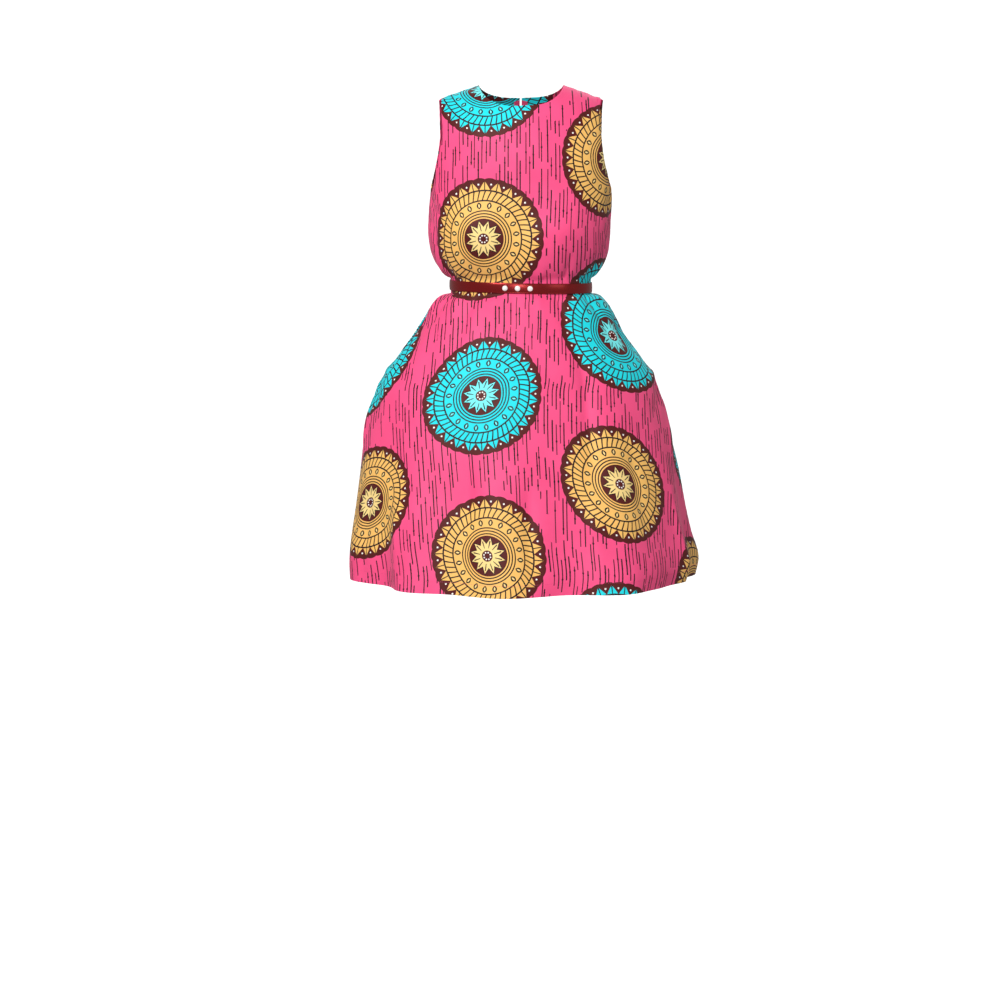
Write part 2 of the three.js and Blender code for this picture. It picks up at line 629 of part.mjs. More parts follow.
function beltStuds() {
  const face = BELT.clearance + BELT.wall;
  return [-1, 0, 1].map((place, index) => {
    const x = STUD.middle + place * STUD.spacing;
    const angle = Math.sign(x) * angleAtHalf(Math.abs(x), BELT.z);
    return dome(`belt_stud_${index + 1}`, STUD, angle, face, STUD_LOOK);
  });
}

// ---------------------------------------------------------------- the dress

const dress = new THREE.Group();
dress.add(bodiceFront(), bodiceBack(1), bodiceBack(-1));
dress.add(skirtFront(), skirtBack(1), skirtBack(-1));
dress.add(pocket(1), pocket(-1));
dress.add(zipTape(), zipHead());
dress.add(beltStrap(), ...beltStuds());
dress.add(dome('belt_snap', SNAP, Math.PI, beltOutside(1), METAL_LOOK));

export default dress;
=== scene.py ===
"""A sleeveless wax-print dress, hollow as it is worn, with side pockets, a back zip and a thin patent belt.

Every cloth piece is a thin shell on one form. A place on the form is an angle round the body (0 at the
centre front, a quarter turn at the wearer's left side seam) and a level: the height up to the chest, and
from there the way along the arc that closes the form over the shoulders. Sizes of the form are in
millimetres, and meshes are in metres.
"""
import math

import bmesh
import bpy
import numpy as np
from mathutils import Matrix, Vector


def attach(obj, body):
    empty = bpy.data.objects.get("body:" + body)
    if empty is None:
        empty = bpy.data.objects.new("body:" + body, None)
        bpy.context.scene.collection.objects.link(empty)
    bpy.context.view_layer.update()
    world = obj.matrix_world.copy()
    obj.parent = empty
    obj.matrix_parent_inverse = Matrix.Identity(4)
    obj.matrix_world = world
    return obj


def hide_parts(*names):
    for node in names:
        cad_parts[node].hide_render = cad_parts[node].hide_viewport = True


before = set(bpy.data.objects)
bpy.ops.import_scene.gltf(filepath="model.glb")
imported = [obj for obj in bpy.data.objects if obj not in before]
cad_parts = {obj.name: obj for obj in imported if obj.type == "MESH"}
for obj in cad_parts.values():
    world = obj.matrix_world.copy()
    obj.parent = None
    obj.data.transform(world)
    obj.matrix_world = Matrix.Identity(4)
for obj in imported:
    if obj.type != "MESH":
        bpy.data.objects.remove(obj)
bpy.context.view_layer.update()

MM = 0.001

# ---------------------------------------------------------------- sizes, as in the construction

SEAM_GAP = 0.3
CLOTH_WALL = 1.6
LAYER_GAP = 0.9
POCKET_WALL = 1.2
WAIST = -331
HEM = -835
CHEST = -150
SHOULDER_ARC = 200
SHOULDER_TOP = CHEST + SHOULDER_ARC
SHOULDER_TRIM = 0.45
SHOULDER_PEAK = 36
SHOULDER_SLOPE = 0.344
UNDERARM = -172
NECK_HALF = 72
NECK_FRONT = -25
NECK_BACK = -8
BACK_ARMHOLE_EXTRA = 5


def table(names, rows):
    """A small table as a dictionary of its named columns."""
    return {name: np.array(values, float) for name, values in zip(names.split(), zip(*rows))}


SECTIONS = table("z half front back shift square", (
    (-835, 303, 240, 247, 6, 2.0),
    (-808, 306, 234, 242, 8, 2.0),
    (-756, 297, 222, 230, 3, 2.0),
    (-714, 289, 212, 221, 1, 2.0),
    (-661, 280, 198, 208, -1, 2.0),
    (-588, 267, 178, 190, -5, 2.0),
    (-546, 257, 166, 178, -6, 2.0),
    (-504, 244, 152, 165, -6, 2.0),
    (-481, 231, 144, 156, -3, 2.0),
    (-445, 206, 131, 142, -2, 2.0),
    (-413, 182, 120, 128, -2, 2.0),
    (-390, 169, 112, 117, -1, 2.05),
    (-357, 147, 101, 98, -1, 2.1),
    (-347, 133, 96, 91, 0, 2.15),
    (-343, 121, 92, 84, 0, 2.2),
    (-319, 121, 92, 84, 0, 2.2),
    (-305, 135, 100, 88, -1, 2.2),
    (-287, 147, 107, 92, -2, 2.25),
    (-265, 154, 111, 96, -2, 2.3),
    (-235, 157, 113, 99, -2, 2.3),
    (-200, 157, 110, 101, -1, 2.3),
    (-170, 156, 108, 101, 0, 2.3),
    (CHEST, 155, 107, 100, 0, 2.3),
))

ARMHOLE = table("z half", (
    (-172, 155),
    (-166, 152),
    (-150, 148),
    (-130, 144),
    (-100, 138),
    (-72, 135),
    (SHOULDER_TOP, 136),
))

CUP = {"x": 80, "z": -238, "spread": 46, "lift": 13}

# The largest folds of the skirt, in degrees and millimetres.
FOLDS = table("at lean spread depth start", (
    (-8, 1, 10, 13, -500),
    (17, -3, 11, -17, -395),
    (36, -3, 9, 13, -430),
    (57, 1, 10, -9, -520),
    (76, 2, 7, -15, -560),
    (-25, -2, 9, -8, -400),
    (-40, 0, 9, 10, -480),
    (-57, 2, 9, -17, -520),
    (-75, 1, 8, 8, -540),
    (108, 3, 9, -14, -500),
    (127, 0, 10, 13, -450),
    (146, -2, 10, -19, -410),
    (166, 1, 9, 9, -470),
    (197, 2, 9, -15, -440),
    (217, -2, 10, 14, -420),
    (237, 1, 9, -18, -470),
    (257, 0, 8, -6, -560),
))
FOLD_GROWTH = 1.35

MOUTH_TOP, MOUTH_BOTTOM = -356, -492
MOUTH_FRONT_GAPE, MOUTH_BACK_GAPE = 12, 6
POCKET_BAG = table("z reach full", (
    (-352, 28, 1),
    (-375, 62, 8),
    (-414, 94, 15),
    (-446, 112, 18),
    (-492, 124, 15),
    (-520, 123, 12),
    (-560, 106, 8),
    (-585, 72, 4),
    (-600, 24, 1),
))

ZIP_DROP, ZIP_BOTTOM, TAPE_HALF, TAPE_LAYER = 3, -505, 12, 0.6
SLIT_HALF, SLIT_BOTTOM, SLIT_TAPER = 1.9, -44, 6

BELT = {"z": -331, "width": 17.5, "wall": 2.0, "clearance": 0.4, "tilt": 0.0195, "overlap": 34, "tip": 9}
BELT_RADIUS = 100
BELT_RAMP = 0.12
STUD = {"radius": 4.6, "rise": 2.6, "spacing": 21, "middle": -6.3}
SNAP = {"radius": 5.0, "rise": 2.0}

# Sewn edges meet with this much lap.
SEAM_LAP = 0.1

# Thickness of the shells: one layer of the cloth, and where it is turned in at a hem or an edge.
LAYER = 0.7
TURNED = 1.3
HEM_TURN = 22
EDGE_TURN = 8

# ---------------------------------------------------------------- small creases, placed one by one

# Soft troughs and ridges from one place to another: angle and level at both ends, half width, depth
# (inwards is negative), and 1 where the first end runs out at full depth, as under a seam or a belt.
CREASES = table("a0 z0 a1 z1 width depth open", (
    # bodice front: drag from the underarms, fullness over the belt, hollows beside the cups
    (-80, -182, -48, -222, 9, -3.7, 1),
    (-84, -206, -58, -250, 8, -2.7, 1),
    (-74, -176, -56, -152, 7, 2.0, 0),
    (80, -180, 50, -214, 10, -4.1, 1),
    (84, -204, 55, -256, 9, -3.6, 1),
    (86, -232, 64, -270, 7, -2.5, 0),
    (76, -174, 58, -148, 7, 1.9, 0),
    (-66, -319, -58, -276, 7, -4.1, 1),
    (-52, -319, -50, -284, 6, 3.2, 1),
    (-38, -319, -34, -262, 7, -3.1, 1),
    (-14, -319, -16, -292, 6, -1.9, 1),
    (12, -319, 15, -286, 6, 2.0, 1),
    (34, -319, 31, -264, 7, -3.4, 1),
    (49, -319, 52, -288, 6, 3.1, 1),
    (63, -319, 58, -272, 8, -4.4, 1),
    (-80, -316, -72, -286, 6, 3.2, 1),
    (79, -316, 74, -290, 6, 2.9, 1),
    (0, -252, 3, -196, 14, -2.7, 0),
    (-46, -130, -30, -84, 11, -1.9, 0),
    (47, -122, 33, -70, 12, -2.0, 0),
    (-22, -44, 4, -62, 9, -1.4, 0),
    # bodice back
    (100, -184, 132, -218, 10, -3.7, 1),
    (96, -214, 124, -262, 9, -3.1, 1),
    (260, -182, 228, -222, 10, -3.9, 1),
    (264, -210, 238, -254, 8, -2.7, 1),
    (112, -319, 118, -280, 7, -3.7, 1),
    (128, -319, 131, -288, 6, 3.1, 1),
    (146, -319, 144, -256, 8, -3.6, 1),
    (164, -319, 166, -290, 6, 2.2, 1),
    (196, -319, 193, -284, 7, -2.4, 1),
    (214, -319, 216, -258, 8, -3.9, 1),
    (231, -319, 229, -286, 6, 2.9, 1),
    (248, -319, 243, -278, 7, -4.1, 1),
    (158, -110, 166, -176, 13, -2.2, 0),
    (203, -104, 196, -170, 13, -2.0, 0),
    # skirt front: fullness let out under the belt
    (-78, -343, -80, -392, 7, 3.4, 1),
    (-62, -343, -66, -424, 8, -4.4, 1),
    (-47, -343, -49, -380, 7, 3.2, 1),
    (-33, -343, -35, -452, 9, -4.6, 1),
    (-17, -343, -16, -396, 8, 2.7, 1),
    (-4, -343, -3, -418, 8, -2.5, 1),
    (11, -343, 12, -402, 8, 3.2, 1),
    (25, -343, 27, -438, 9, -5.0, 1),
    (41, -343, 43, -392, 7, 3.4, 1),
    (55, -343, 59, -446, 9, -5.1, 1),
    (72, -343, 75, -388, 7, 3.2, 1),
    # drag below and beside the pocket mouths
    (86, -500, 62, -560, 13, -6.1, 1),
    (87, -478, 58, -500, 10, 3.7, 1),
    (82, -384, 58, -470, 12, -5.1, 1),
    (88, -520, 74, -640, 12, 4.4, 0),
    (-86, -498, -64, -548, 12, -5.3, 1),
    (-87, -474, -60, -486, 10, 3.4, 1),
    (-82, -382, -60, -456, 11, -4.4, 1),
    (-88, -520, -78, -618, 12, 4.1, 0),
    # skirt front, long and shallow
    (30, -385, 25, -730, 13, -9.0, 0),
    (-18, -560, -20, -820, 15, -7.4, 0),
    (3, -620, 2, -850, 12, -8.2, 0),
    (26, -640, 24, -850, 12, 5.1, 0),
    (44, -560, 47, -760, 13, -4.4, 0),
    (-48, -640, -45, -850, 12, 5.4, 0),
    (66, -660, 68, -850, 11, 5.8, 0),
    (-66, -660, -67, -850, 10, -4.8, 0),
    # skirt back
    (102, -343, 104, -400, 8, 3.4, 1),
    (117, -343, 118, -440, 9, -4.4, 1),
    (134, -343, 133, -392, 7, 3.2, 1),
    (150, -343, 151, -456, 9, -4.4, 1),
    (166, -343, 165, -404, 8, 2.9, 1),
    (181, -520, 180, -700, 12, -4.4, 0),
    (195, -343, 196, -410, 8, 3.1, 1),
    (211, -343, 209, -448, 9, -4.8, 1),
    (227, -343, 228, -396, 7, 3.2, 1),
    (243, -343, 241, -434, 9, -4.2, 1),
    (259, -343, 257, -402, 7, 3.1, 1),
    (94, -500, 116, -566, 12, -5.1, 1),
    (266, -500, 246, -560, 12, -5.4, 1),
    (136, -640, 138, -850, 12, -5.4, 0),
    (158, -600, 156, -850, 13, 5.1, 0),
    (188, -640, 187, -850, 12, 5.4, 0),
    (206, -600, 208, -830, 13, -5.1, 0),
    (228, -660, 226, -850, 12, 5.1, 0),
    (250, -640, 251, -850, 11, 5.1, 0),
))
# How much wider a crease is at its far end, as a share, and the distances from the belt's middle (mm)
# between which the creases fade in.
CREASE_WIDENING = 0.5
BELT_ZONE = (11, 20)

# Radius that turns an angle into a distance across a crease, on the bodice and on the skirt's rows.
CREASE_RADIUS = table("z radius", (
    (HEM, 275), (-600, 225), (-450, 170), (WAIST, 105), (-250, 132), (CHEST, 120),
))

# A restless surface: long shallow waves as (turns round the body, waves down a metre, phase, height).
RIPPLES = (
    (5, 6.0, 0.4, 0.50),
    (9, 4.0, 2.1, 0.42),
    (14, 9.0, 4.0, 0.30),
    (23, 5.0, 1.2, 0.22),
    (31, 13.0, 5.3, 0.14),
)

# ---------------------------------------------------------------- the form


def column(rows, key, z):
    """A smooth curve through one column of a table sorted upwards by z. It runs out upright at its top."""
    heights, values = rows["z"], rows[key]
    z = np.clip(z, heights[0], heights[-1])
    i = np.clip(np.searchsorted(heights, z) - 1, 0, len(heights) - 2)
    secant = np.diff(values) / np.diff(heights)
    before, after = secant[:-1], secant[1:]
    total = np.where(before * after > 0, before + after, 1)
    inner = np.where(before * after > 0, 2 * before * after / total, 0)
    slope = np.concatenate(([secant[0]], inner, [0]))
    span = heights[i + 1] - heights[i]
    f = (z - heights[i]) / span
    ease = f * f * (3 - 2 * f)
    bend = span * f * (1 - f) * ((1 - f) * slope[i] - f * slope[i + 1])
    return values[i] + (values[i + 1] - values[i]) * ease + bend


def signed_power(value, power):
    return np.sign(value) * np.abs(value) ** power


def wrapped(angle):
    return np.arctan2(np.sin(angle), np.cos(angle))


def smoothstep(x, low, high):
    f = np.clip((x - low) / (high - low), 0, 1)
    return f * f * (3 - 2 * f)


def fold_depth(angle, z):
    total = np.zeros(np.broadcast(angle, z).shape)
    fold_columns = [FOLDS[key] for key in ("at", "lean", "spread", "depth", "start")]
    for at, lean, spread, depth, start in zip(*fold_columns):
        down = np.clip((start - z) / (start - HEM), 0, 1)
        away = wrapped(angle - np.radians(at + lean * down))
        total = total + depth * down ** FOLD_GROWTH * np.exp(-((away / math.radians(spread)) ** 2))
    return total


def form_point(angle, level):
    angle, level = np.broadcast_arrays(np.asarray(angle, float), np.asarray(level, float))
    z = np.minimum(level, CHEST)
    power = 2 / column(SECTIONS, "square", z)
    sine, cosine = np.sin(angle), np.cos(angle)
    closing = np.maximum(0, level - CHEST) / SHOULDER_ARC * math.pi / 2
    x = column(SECTIONS, "half", z) * signed_power(sine, power)
    depth = np.where(cosine > 0, column(SECTIONS, "front", z), column(SECTIONS, "back", z))
    across, along = (np.abs(x) - CUP["x"]) / CUP["spread"], (z - CUP["z"]) / CUP["spread"]
    cup = CUP["lift"] * np.maximum(0, cosine) * np.exp(-(across ** 2) - along ** 2)
    y = -(depth * signed_power(cosine, power) + cup) * np.cos(closing)
    out = fold_depth(angle, z)
    rise = (SHOULDER_PEAK - SHOULDER_SLOPE * np.abs(x) - CHEST) * np.sin(closing)
    shift = column(SECTIONS, "shift", z)
    return np.stack((x + shift + out * sine, y - out * cosine, z + rise), axis=-1)


def form_normal(angle, level):
    turn, step = 0.004, 0.5
    round_body = form_point(angle + turn, level) - form_point(angle - turn, level)
    up = form_point(angle, level + step) - form_point(angle, level - step)
    normal = np.cross(round_body, up)
    return normal / np.linalg.norm(normal, axis=-1, keepdims=True)


def off_form(angle, level, distance):
    return form_point(angle, level) + form_normal(angle, level) * np.asarray(distance, float)[..., None]


def under_cloth(angle, level, depth):
    """A place at a depth under the cloth, which follows its small creases."""
    return off_form(angle, level, crease_depth(angle, level) - depth)


def angle_at_half(half, level):
    z = np.minimum(level, CHEST)
    share = np.clip(half / column(SECTIONS, "half", z), 0, 1)
    return np.arcsin(share ** (column(SECTIONS, "square", z) / 2))


def solve(low, high, test):
    for _ in range(40):
        middle = (low + high) / 2
        if test(middle):
            high = middle
        else:
            low = middle
    return (low + high) / 2


def crease_depth(angle, level):
    """How far the small creases and ripples lift the cloth off the form."""
    radius = column(CREASE_RADIUS, "radius", level)
    total = np.zeros(np.broadcast(angle, level).shape)
    crease_columns = [CREASES[key] for key in ("a0", "z0", "a1", "z1", "width", "depth", "open")]
    for a0, z0, a1, z1, width, depth, open_end in zip(*crease_columns):
        x = wrapped(angle - math.radians(a0)) * radius
        run = (wrapped(math.radians(a1 - a0)) * radius, z1 - z0)
        length2 = run[0] ** 2 + run[1] ** 2
        along = (x * run[0] + (level - z0) * run[1]) / length2
        across = (x * run[1] - (level - z0) * run[0]) / np.sqrt(length2)
        inside = np.clip(along, 0, 1)
        if open_end:
            fade = np.cos(math.pi / 2 * inside) * smoothstep(along, -0.06, 0.08)
        else:
            fade = np.sin(math.pi * inside)
        widening = width * (1 + CREASE_WIDENING * inside)
        total = total + depth * fade * np.exp(1 - np.sqrt(1 + (2 * across / widening) ** 2))
    for turns, waves, phase, height in RIPPLES:
        total = total + height * np.sin(turns * angle + waves * level * MM * 2 * math.pi + phase)
    return total * smoothstep(np.abs(level - BELT["z"]), *BELT_ZONE)


# ---------------------------------------------------------------- meshes

BAKE_MARGIN = 0.006
BAKE_OUTER_SHARE = 0.7


def bake_map(nu, nv, wide):
    """Two sets of coordinates for a grid, the outer face's and the smaller one of the inner face."""
    v, u = np.meshgrid(np.linspace(0, 1, nv), np.linspace(0, 1, nu), indexing="ij")
    along = BAKE_MARGIN + (v if not wide else u) * (1 - 2 * BAKE_MARGIN)
    share = u if not wide else v
    sides = []
    for low, high in ((0, BAKE_OUTER_SHARE), (BAKE_OUTER_SHARE, 1)):
        across = low + BAKE_MARGIN + share * (high - low - 2 * BAKE_MARGIN)
        pair = (along, across) if wide else (across, along)
        sides.append(np.stack(pair, axis=-1).reshape(-1, 2))
    return np.concatenate(sides)


def new_object(name, vertices, faces, smooth_angle=40):
    mesh = bpy.data.meshes.new(name)
    mesh.from_pydata([tuple(v) for v in vertices], [], [tuple(f) for f in faces])
    mesh.validate()
    mesh.shade_smooth()
    mesh.set_sharp_from_angle(angle=math.radians(smooth_angle))
    piece = bpy.data.objects.new(name, mesh)
    bpy.context.collection.objects.link(piece)
    return piece


def grid_faces(nu, nv, closed=False):
    j, i = np.meshgrid(np.arange(nv - 1), np.arange(nu if closed else nu - 1), indexing="ij")
    a = (j * nu + i).ravel()
    b = (j * nu + (i + 1) % nu).ravel()
    return np.stack((a, b, b + nu, a + nu), axis=1)


def shell(name, outer, inner, cut):
    """A closed shell between two grids of points (rows, columns, 3), in mm, with its maps.

    cut holds the flat cut's coordinates in metres, for the print. The other map has no overlaps.
    """
    nv, nu = outer.shape[:2]
    count = nu * nv
    top = grid_faces(nu, nv)
    under = top[:, ::-1] + count
    edge = np.concatenate((
        np.arange(nu),
        np.arange(1, nv) * nu + nu - 1,
        (nv - 1) * nu + np.arange(nu - 2, -1, -1),
        np.arange(nv - 2, 0, -1) * nu,
    ))
    following = np.roll(edge, -1)
    rim = np.stack((edge + count, following + count, following, edge), axis=1)
    points = np.concatenate((outer.reshape(-1, 3), inner.reshape(-1, 3))) * MM
    faces = np.concatenate((top, under, rim))
    piece = new_object(name, points, faces)

    loops = faces.ravel()
    rim_start = 4 * (len(top) + len(under))
    flat_cut = np.concatenate((cut.reshape(-1, 2), cut.reshape(-1, 2)))
    size = cut.reshape(-1, 2).max(axis=0) - cut.reshape(-1, 2).min(axis=0)
    bake = bake_map(nu, nv, size[0] > size[1])
    bake_loops = bake[loops]
    bake_loops[rim_start:] = bake[loops[rim_start:] % count]
    layers = (("cut", flat_cut[loops]), ("OFBake", bake_loops))
    for layer_name, values in layers:
        layer = piece.data.uv_layers.new(name=layer_name)
        layer.data.foreach_set("uv", np.ascontiguousarray(values, dtype=np.float32).ravel())
    return piece


def arc_lengths(points, axis):
    """Distance along a grid's rows (axis 1) or columns (axis 0), from its first point, in mm."""
    run = np.linalg.norm(np.diff(points, axis=axis), axis=-1)
    start = np.zeros_like(np.take(run, [0], axis=axis))
    return np.concatenate((start, np.cumsum(run, axis=axis)), axis=axis)


def cut_area(cut):
    """Area of a grid of flat coordinates, in square metres."""
    across = cut[1:, 1:] - cut[:-1, :-1]
    other = cut[1:, :-1] - cut[:-1, 1:]
    return float(np.abs(across[..., 0] * other[..., 1] - across[..., 1] * other[..., 0]).sum() / 2)


def declare_cut(cut):
    size = cut.reshape(-1, 2).max(axis=0) - cut.reshape(-1, 2).min(axis=0)
    area = min(cut_area(cut), float(size[0] * size[1]))


def finish_piece(piece, body, slot, *nodes):
    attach(piece, body)
    if nodes:
        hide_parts(*nodes)


# ---------------------------------------------------------------- panels

SEAM_DIP = 0.7
SEAM_REACH = 2.2
PUCKER = 0.22
PUCKER_WAVE = 0.42


def seam_dip(distance, along):
    """How far the cloth sinks towards a seam, with the slight pucker of its stitches (mm)."""
    close = np.exp(-((distance / SEAM_REACH) ** 2))
    near = np.exp(-((distance / (3 * SEAM_REACH)) ** 2))
    return SEAM_DIP * close + PUCKER * near * np.sin(along * PUCKER_WAVE)


def crowded(low, high, count, ends=(True, True), tight=(0.0022, 0.006, 0.012)):
    """Even steps from low to high, with a few close steps beside the ends that are seams."""
    steps = set(np.linspace(low, high, count + 1))
    for share in tight:
        if ends[0]:
            steps.add(low + share * (high - low))
        if ends[1]:
            steps.add(high - share * (high - low))
    return np.array(sorted(steps))


def build_panel(name, angle, level, cut_of, seams, thickness):
    """One panel of the printed cloth, in place of the node of its name, from grids of angles and levels.

    cut_of gives the flat coordinates, seams says which sides (left, right, bottom, top) are sewn, and
    thickness gives the shell's thickness from the distances to the left, right, bottom and top.
    """
    base = form_point(angle, level)
    normal = form_normal(angle, level)
    along_row = arc_lengths(base, 1)
    along_column = arc_lengths(base, 0)
    from_left = along_row
    from_right = along_row[:, -1:] - along_row
    from_bottom = along_column
    from_top = along_column[-1:, :] - along_column
    lift = crease_depth(angle, level)
    distances = (from_left, from_right, from_bottom, from_top)
    runs = (along_column, along_column, along_row, along_row)
    for sewn, distance, along in zip(seams, distances, runs):
        if sewn:
            lift = lift - seam_dip(distance, along)
    outer = base + normal * lift[..., None]
    inner = outer - normal * thickness(*distances)[..., None]
    cut = cut_of(angle, level)
    piece = shell(name + "_cloth", outer, inner, cut)
    finish_piece(piece, "dress", "wax_print", name)
    declare_cut(cut)
    return {"piece": piece, "outer": outer, "normal": normal, "level": level}


def girth_from(angle, level, centre):
    """Signed distance round the body from the centre line to each place, at its own level (mm)."""
    steps = 24
    total = np.zeros(angle.shape)
    before = form_point(centre, level)
    for step in range(1, steps + 1):
        here = form_point(centre + (angle - centre) * step / steps, level)
        total = total + np.linalg.norm(here - before, axis=-1)
        before = here
    return total * np.sign(angle - centre)


def climb_from(angle, level, lowest):
    """Distance up the cloth from the chest to each place above it, along its own angle (mm)."""
    steps = 16
    total = np.zeros(angle.shape)
    before = form_point(angle, np.full(level.shape, lowest))
    for step in range(1, steps + 1):
        here = form_point(angle, lowest + (level - lowest) * step / steps)
        total = total + np.linalg.norm(here - before, axis=-1)
        before = here
    return total


def centre_length(centre, level):
    """Distance from the waist seam along the centre line to each level (mm)."""
    line = np.linspace(HEM, SHOULDER_TOP, 400)
    run = arc_lengths(form_point(centre, line)[:, None, :], 0)[:, 0]
    return np.interp(level, line, run) - np.interp(WAIST, line, run)


def bodice_cut(centre, offset):
    """Flat coordinates of a bodice panel whose grain runs up its centre line."""
    def cut_of(angle, level):
        up = centre_length(centre, np.minimum(level, CHEST))
        above = np.maximum(level, CHEST)
        up = up + np.where(level > CHEST, climb_from(angle, above, CHEST), 0)
        across = girth_from(angle, level, centre)
        return np.stack((across * MM + offset, up * MM), axis=-1)
    return cut_of


SKIRT_RADIUS = 295


def skirt_cut(centre, offset):
    """The flat sector of the skirt: its waist is an arc of SKIRT_RADIUS, its grain runs down the centre."""
    def cut_of(angle, level):
        radius = SKIRT_RADIUS - centre_length(centre, level)
        turn = girth_from(angle, level, centre) / radius
        flat = (radius * np.sin(turn) * MM + offset, (SKIRT_RADIUS - radius * np.cos(turn)) * MM)
        return np.stack(flat, axis=-1)
    return cut_of


def neck_edge(x, lowest):
    neck_point = SHOULDER_PEAK - SHOULDER_SLOPE * NECK_HALF
    share = np.clip(np.abs(x) / NECK_HALF, 0, 1)
    return neck_point - (neck_point - lowest) * (1 - share ** 3) ** (2 / 3)


def armhole_angle(level, extra):
    widest = column(SECTIONS, "half", np.minimum(level, CHEST))
    half = np.minimum(column(ARMHOLE, "half", level) + extra, widest)
    return np.where(level <= UNDERARM, math.pi / 2, angle_at_half(half, level))


def side_trim(level, gap):
    return gap / column(SECTIONS, "front", np.minimum(level, CHEST))


def centre_back_level(height):
    return solve(CHEST, SHOULDER_TOP, lambda level: form_point(math.pi, level)[2] > height)


SLIT_LEVEL = centre_back_level(SLIT_BOTTOM)


def centre_back_half(level):
    """Half the width between the edges of the two backs, which part above the foot of the slit."""
    return SLIT_HALF * smoothstep(level, SLIT_LEVEL - SLIT_TAPER, SLIT_LEVEL)


def column_tops(angle_of, columns, lowest):
    """The level where each column of a bodice panel ends: the shoulder seam or the neck edge."""
    seam = SHOULDER_TOP - SHOULDER_TRIM
    tops = []
    for u in columns:
        def above(level):
            x, _, z = form_point(angle_of(u, level), level)
            return z > neck_edge(x, lowest)
        ridge = form_point(angle_of(u, seam), seam)
        tops.append(seam if abs(ridge[0]) >= NECK_HALF else min(seam, solve(CHEST, seam, above)))
    return np.array(tops)


LOW_ROWS = np.concatenate((
    [WAIST, WAIST + 1.5],
    np.arange(-326, UNDERARM - 4, 3.4),
    np.linspace(UNDERARM, CHEST, 12),
))
YOKE_SHARES = np.concatenate((np.linspace(0, 0.94, 40)[1:], [0.96, 0.975, 0.988, 1.0]))

# Steps from the neck point to the armhole, and the close ones beside the side seam.
ARM_STEPS = 26
ARM_TIGHT = (0.012, 0.03)


def bodice_grid(angle_of, columns, lowest):
    tops = column_tops(angle_of, columns, lowest)
    low = np.repeat(LOW_ROWS[:, None], len(columns), axis=1)
    high = CHEST + YOKE_SHARES[:, None] * (tops - CHEST)[None, :]
    level = np.concatenate((low, high))
    return angle_of(columns[None, :], level), level


def edge_thickness(turned_left, turned_right, turned_bottom, turned_top):
    """Thickness of a shell whose named sides are turned in: (reach of the turning, or 0) for each."""
    reaches = (turned_left, turned_right, turned_bottom, turned_top)

    def thickness(*distances):
        total = np.full(distances[0].shape, LAYER)
        for reach, distance in zip(reaches, distances):
            if reach:
                total = np.maximum(total, np.where(distance < reach, TURNED, LAYER))
        return total
    return thickness


def bodice_front():
    def angle_of(u, level):
        return u * (armhole_angle(level, 0) + side_trim(level, SEAM_LAP / 2))
    neck_point = solve(0, 1, lambda u: form_point(angle_of(u, SHOULDER_TOP), SHOULDER_TOP)[0] > NECK_HALF)
    across = neck_point * np.sin(np.linspace(-math.pi / 2, math.pi / 2, 73))
    beside = crowded(neck_point, 1, ARM_STEPS, ends=(False, True), tight=ARM_TIGHT)
    columns = np.concatenate((-beside[::-1][:-1], across, beside[1:]))
    angle, level = bodice_grid(angle_of, columns, NECK_FRONT)
    return build_panel("bodice_front", angle, level, bodice_cut(0.0, PRINT_FRONT),
                       (True, True, True, True), edge_thickness(EDGE_TURN, EDGE_TURN, 0, EDGE_TURN))


def back_angle(side, near_centre, near_side):
    """Angle at share u of a back panel. side is 1 on the wearer's left, and u runs with the angle."""
    def angle_of(u, level):
        share = 1 - u if side > 0 else u
        return side * (math.pi - near_centre(level) * (1 - share) - near_side(level) * share)
    return angle_of


def bodice_back(side):
    angle_of = back_angle(
        side,
        lambda level: angle_at_half(centre_back_half(level), level),
        lambda level: armhole_angle(level, BACK_ARMHOLE_EXTRA) + side_trim(level, SEAM_LAP / 2),
    )

    def under_neck(u):
        return abs(form_point(angle_of(u, SHOULDER_TOP), SHOULDER_TOP)[0]) < NECK_HALF
    neck_point = solve(0, 1, lambda u: under_neck(u) == (side > 0))
    neck_end, arm_end = (1, 0) if side > 0 else (0, 1)
    under = neck_end + (neck_point - neck_end) * np.sin(np.linspace(0, math.pi / 2, 37))
    share = crowded(0, 1, ARM_STEPS, ends=(False, True), tight=ARM_TIGHT)[1:]
    beside = neck_point + (arm_end - neck_point) * share
    columns = np.array(sorted(np.concatenate((under, beside))))
    angle, level = bodice_grid(angle_of, columns, NECK_BACK)
    name = "bodice_back_left" if side > 0 else "bodice_back_right"
    return build_panel(name, angle, level, bodice_cut(side * math.pi, PRINT_BACK),
                       (True, True, True, True), edge_thickness(EDGE_TURN, EDGE_TURN, 0, EDGE_TURN))


MOUTH_ROUNDNESS = 0.8


def mouth_opening(z):
    share = np.clip((MOUTH_TOP - z) / (MOUTH_TOP - MOUTH_BOTTOM), 0, 1)
    return np.sin(share * math.pi) ** MOUTH_ROUNDNESS


def front_side_gap(z):
    return MOUTH_FRONT_GAPE * mouth_opening(z) - SEAM_LAP / 2


def back_side_gap(z):
    return MOUTH_BACK_GAPE * mouth_opening(z) - SEAM_LAP / 2


SKIRT_ROWS = np.concatenate((
    [HEM, HEM + 1.5],
    np.linspace(HEM + 5, -500, 66),
    np.linspace(-496, -344, 42),
    np.linspace(-342.5, WAIST - 2, 5),
    [WAIST],
))


def skirt_panel(name, angle_of, columns, cut_of):
    level = np.repeat(SKIRT_ROWS[:, None], len(columns), axis=1)
    angle = angle_of(columns[None, :], level)
    return build_panel(name, angle, level, cut_of, (True, True, False, True),
                       edge_thickness(EDGE_TURN, EDGE_TURN, HEM_TURN, 0))


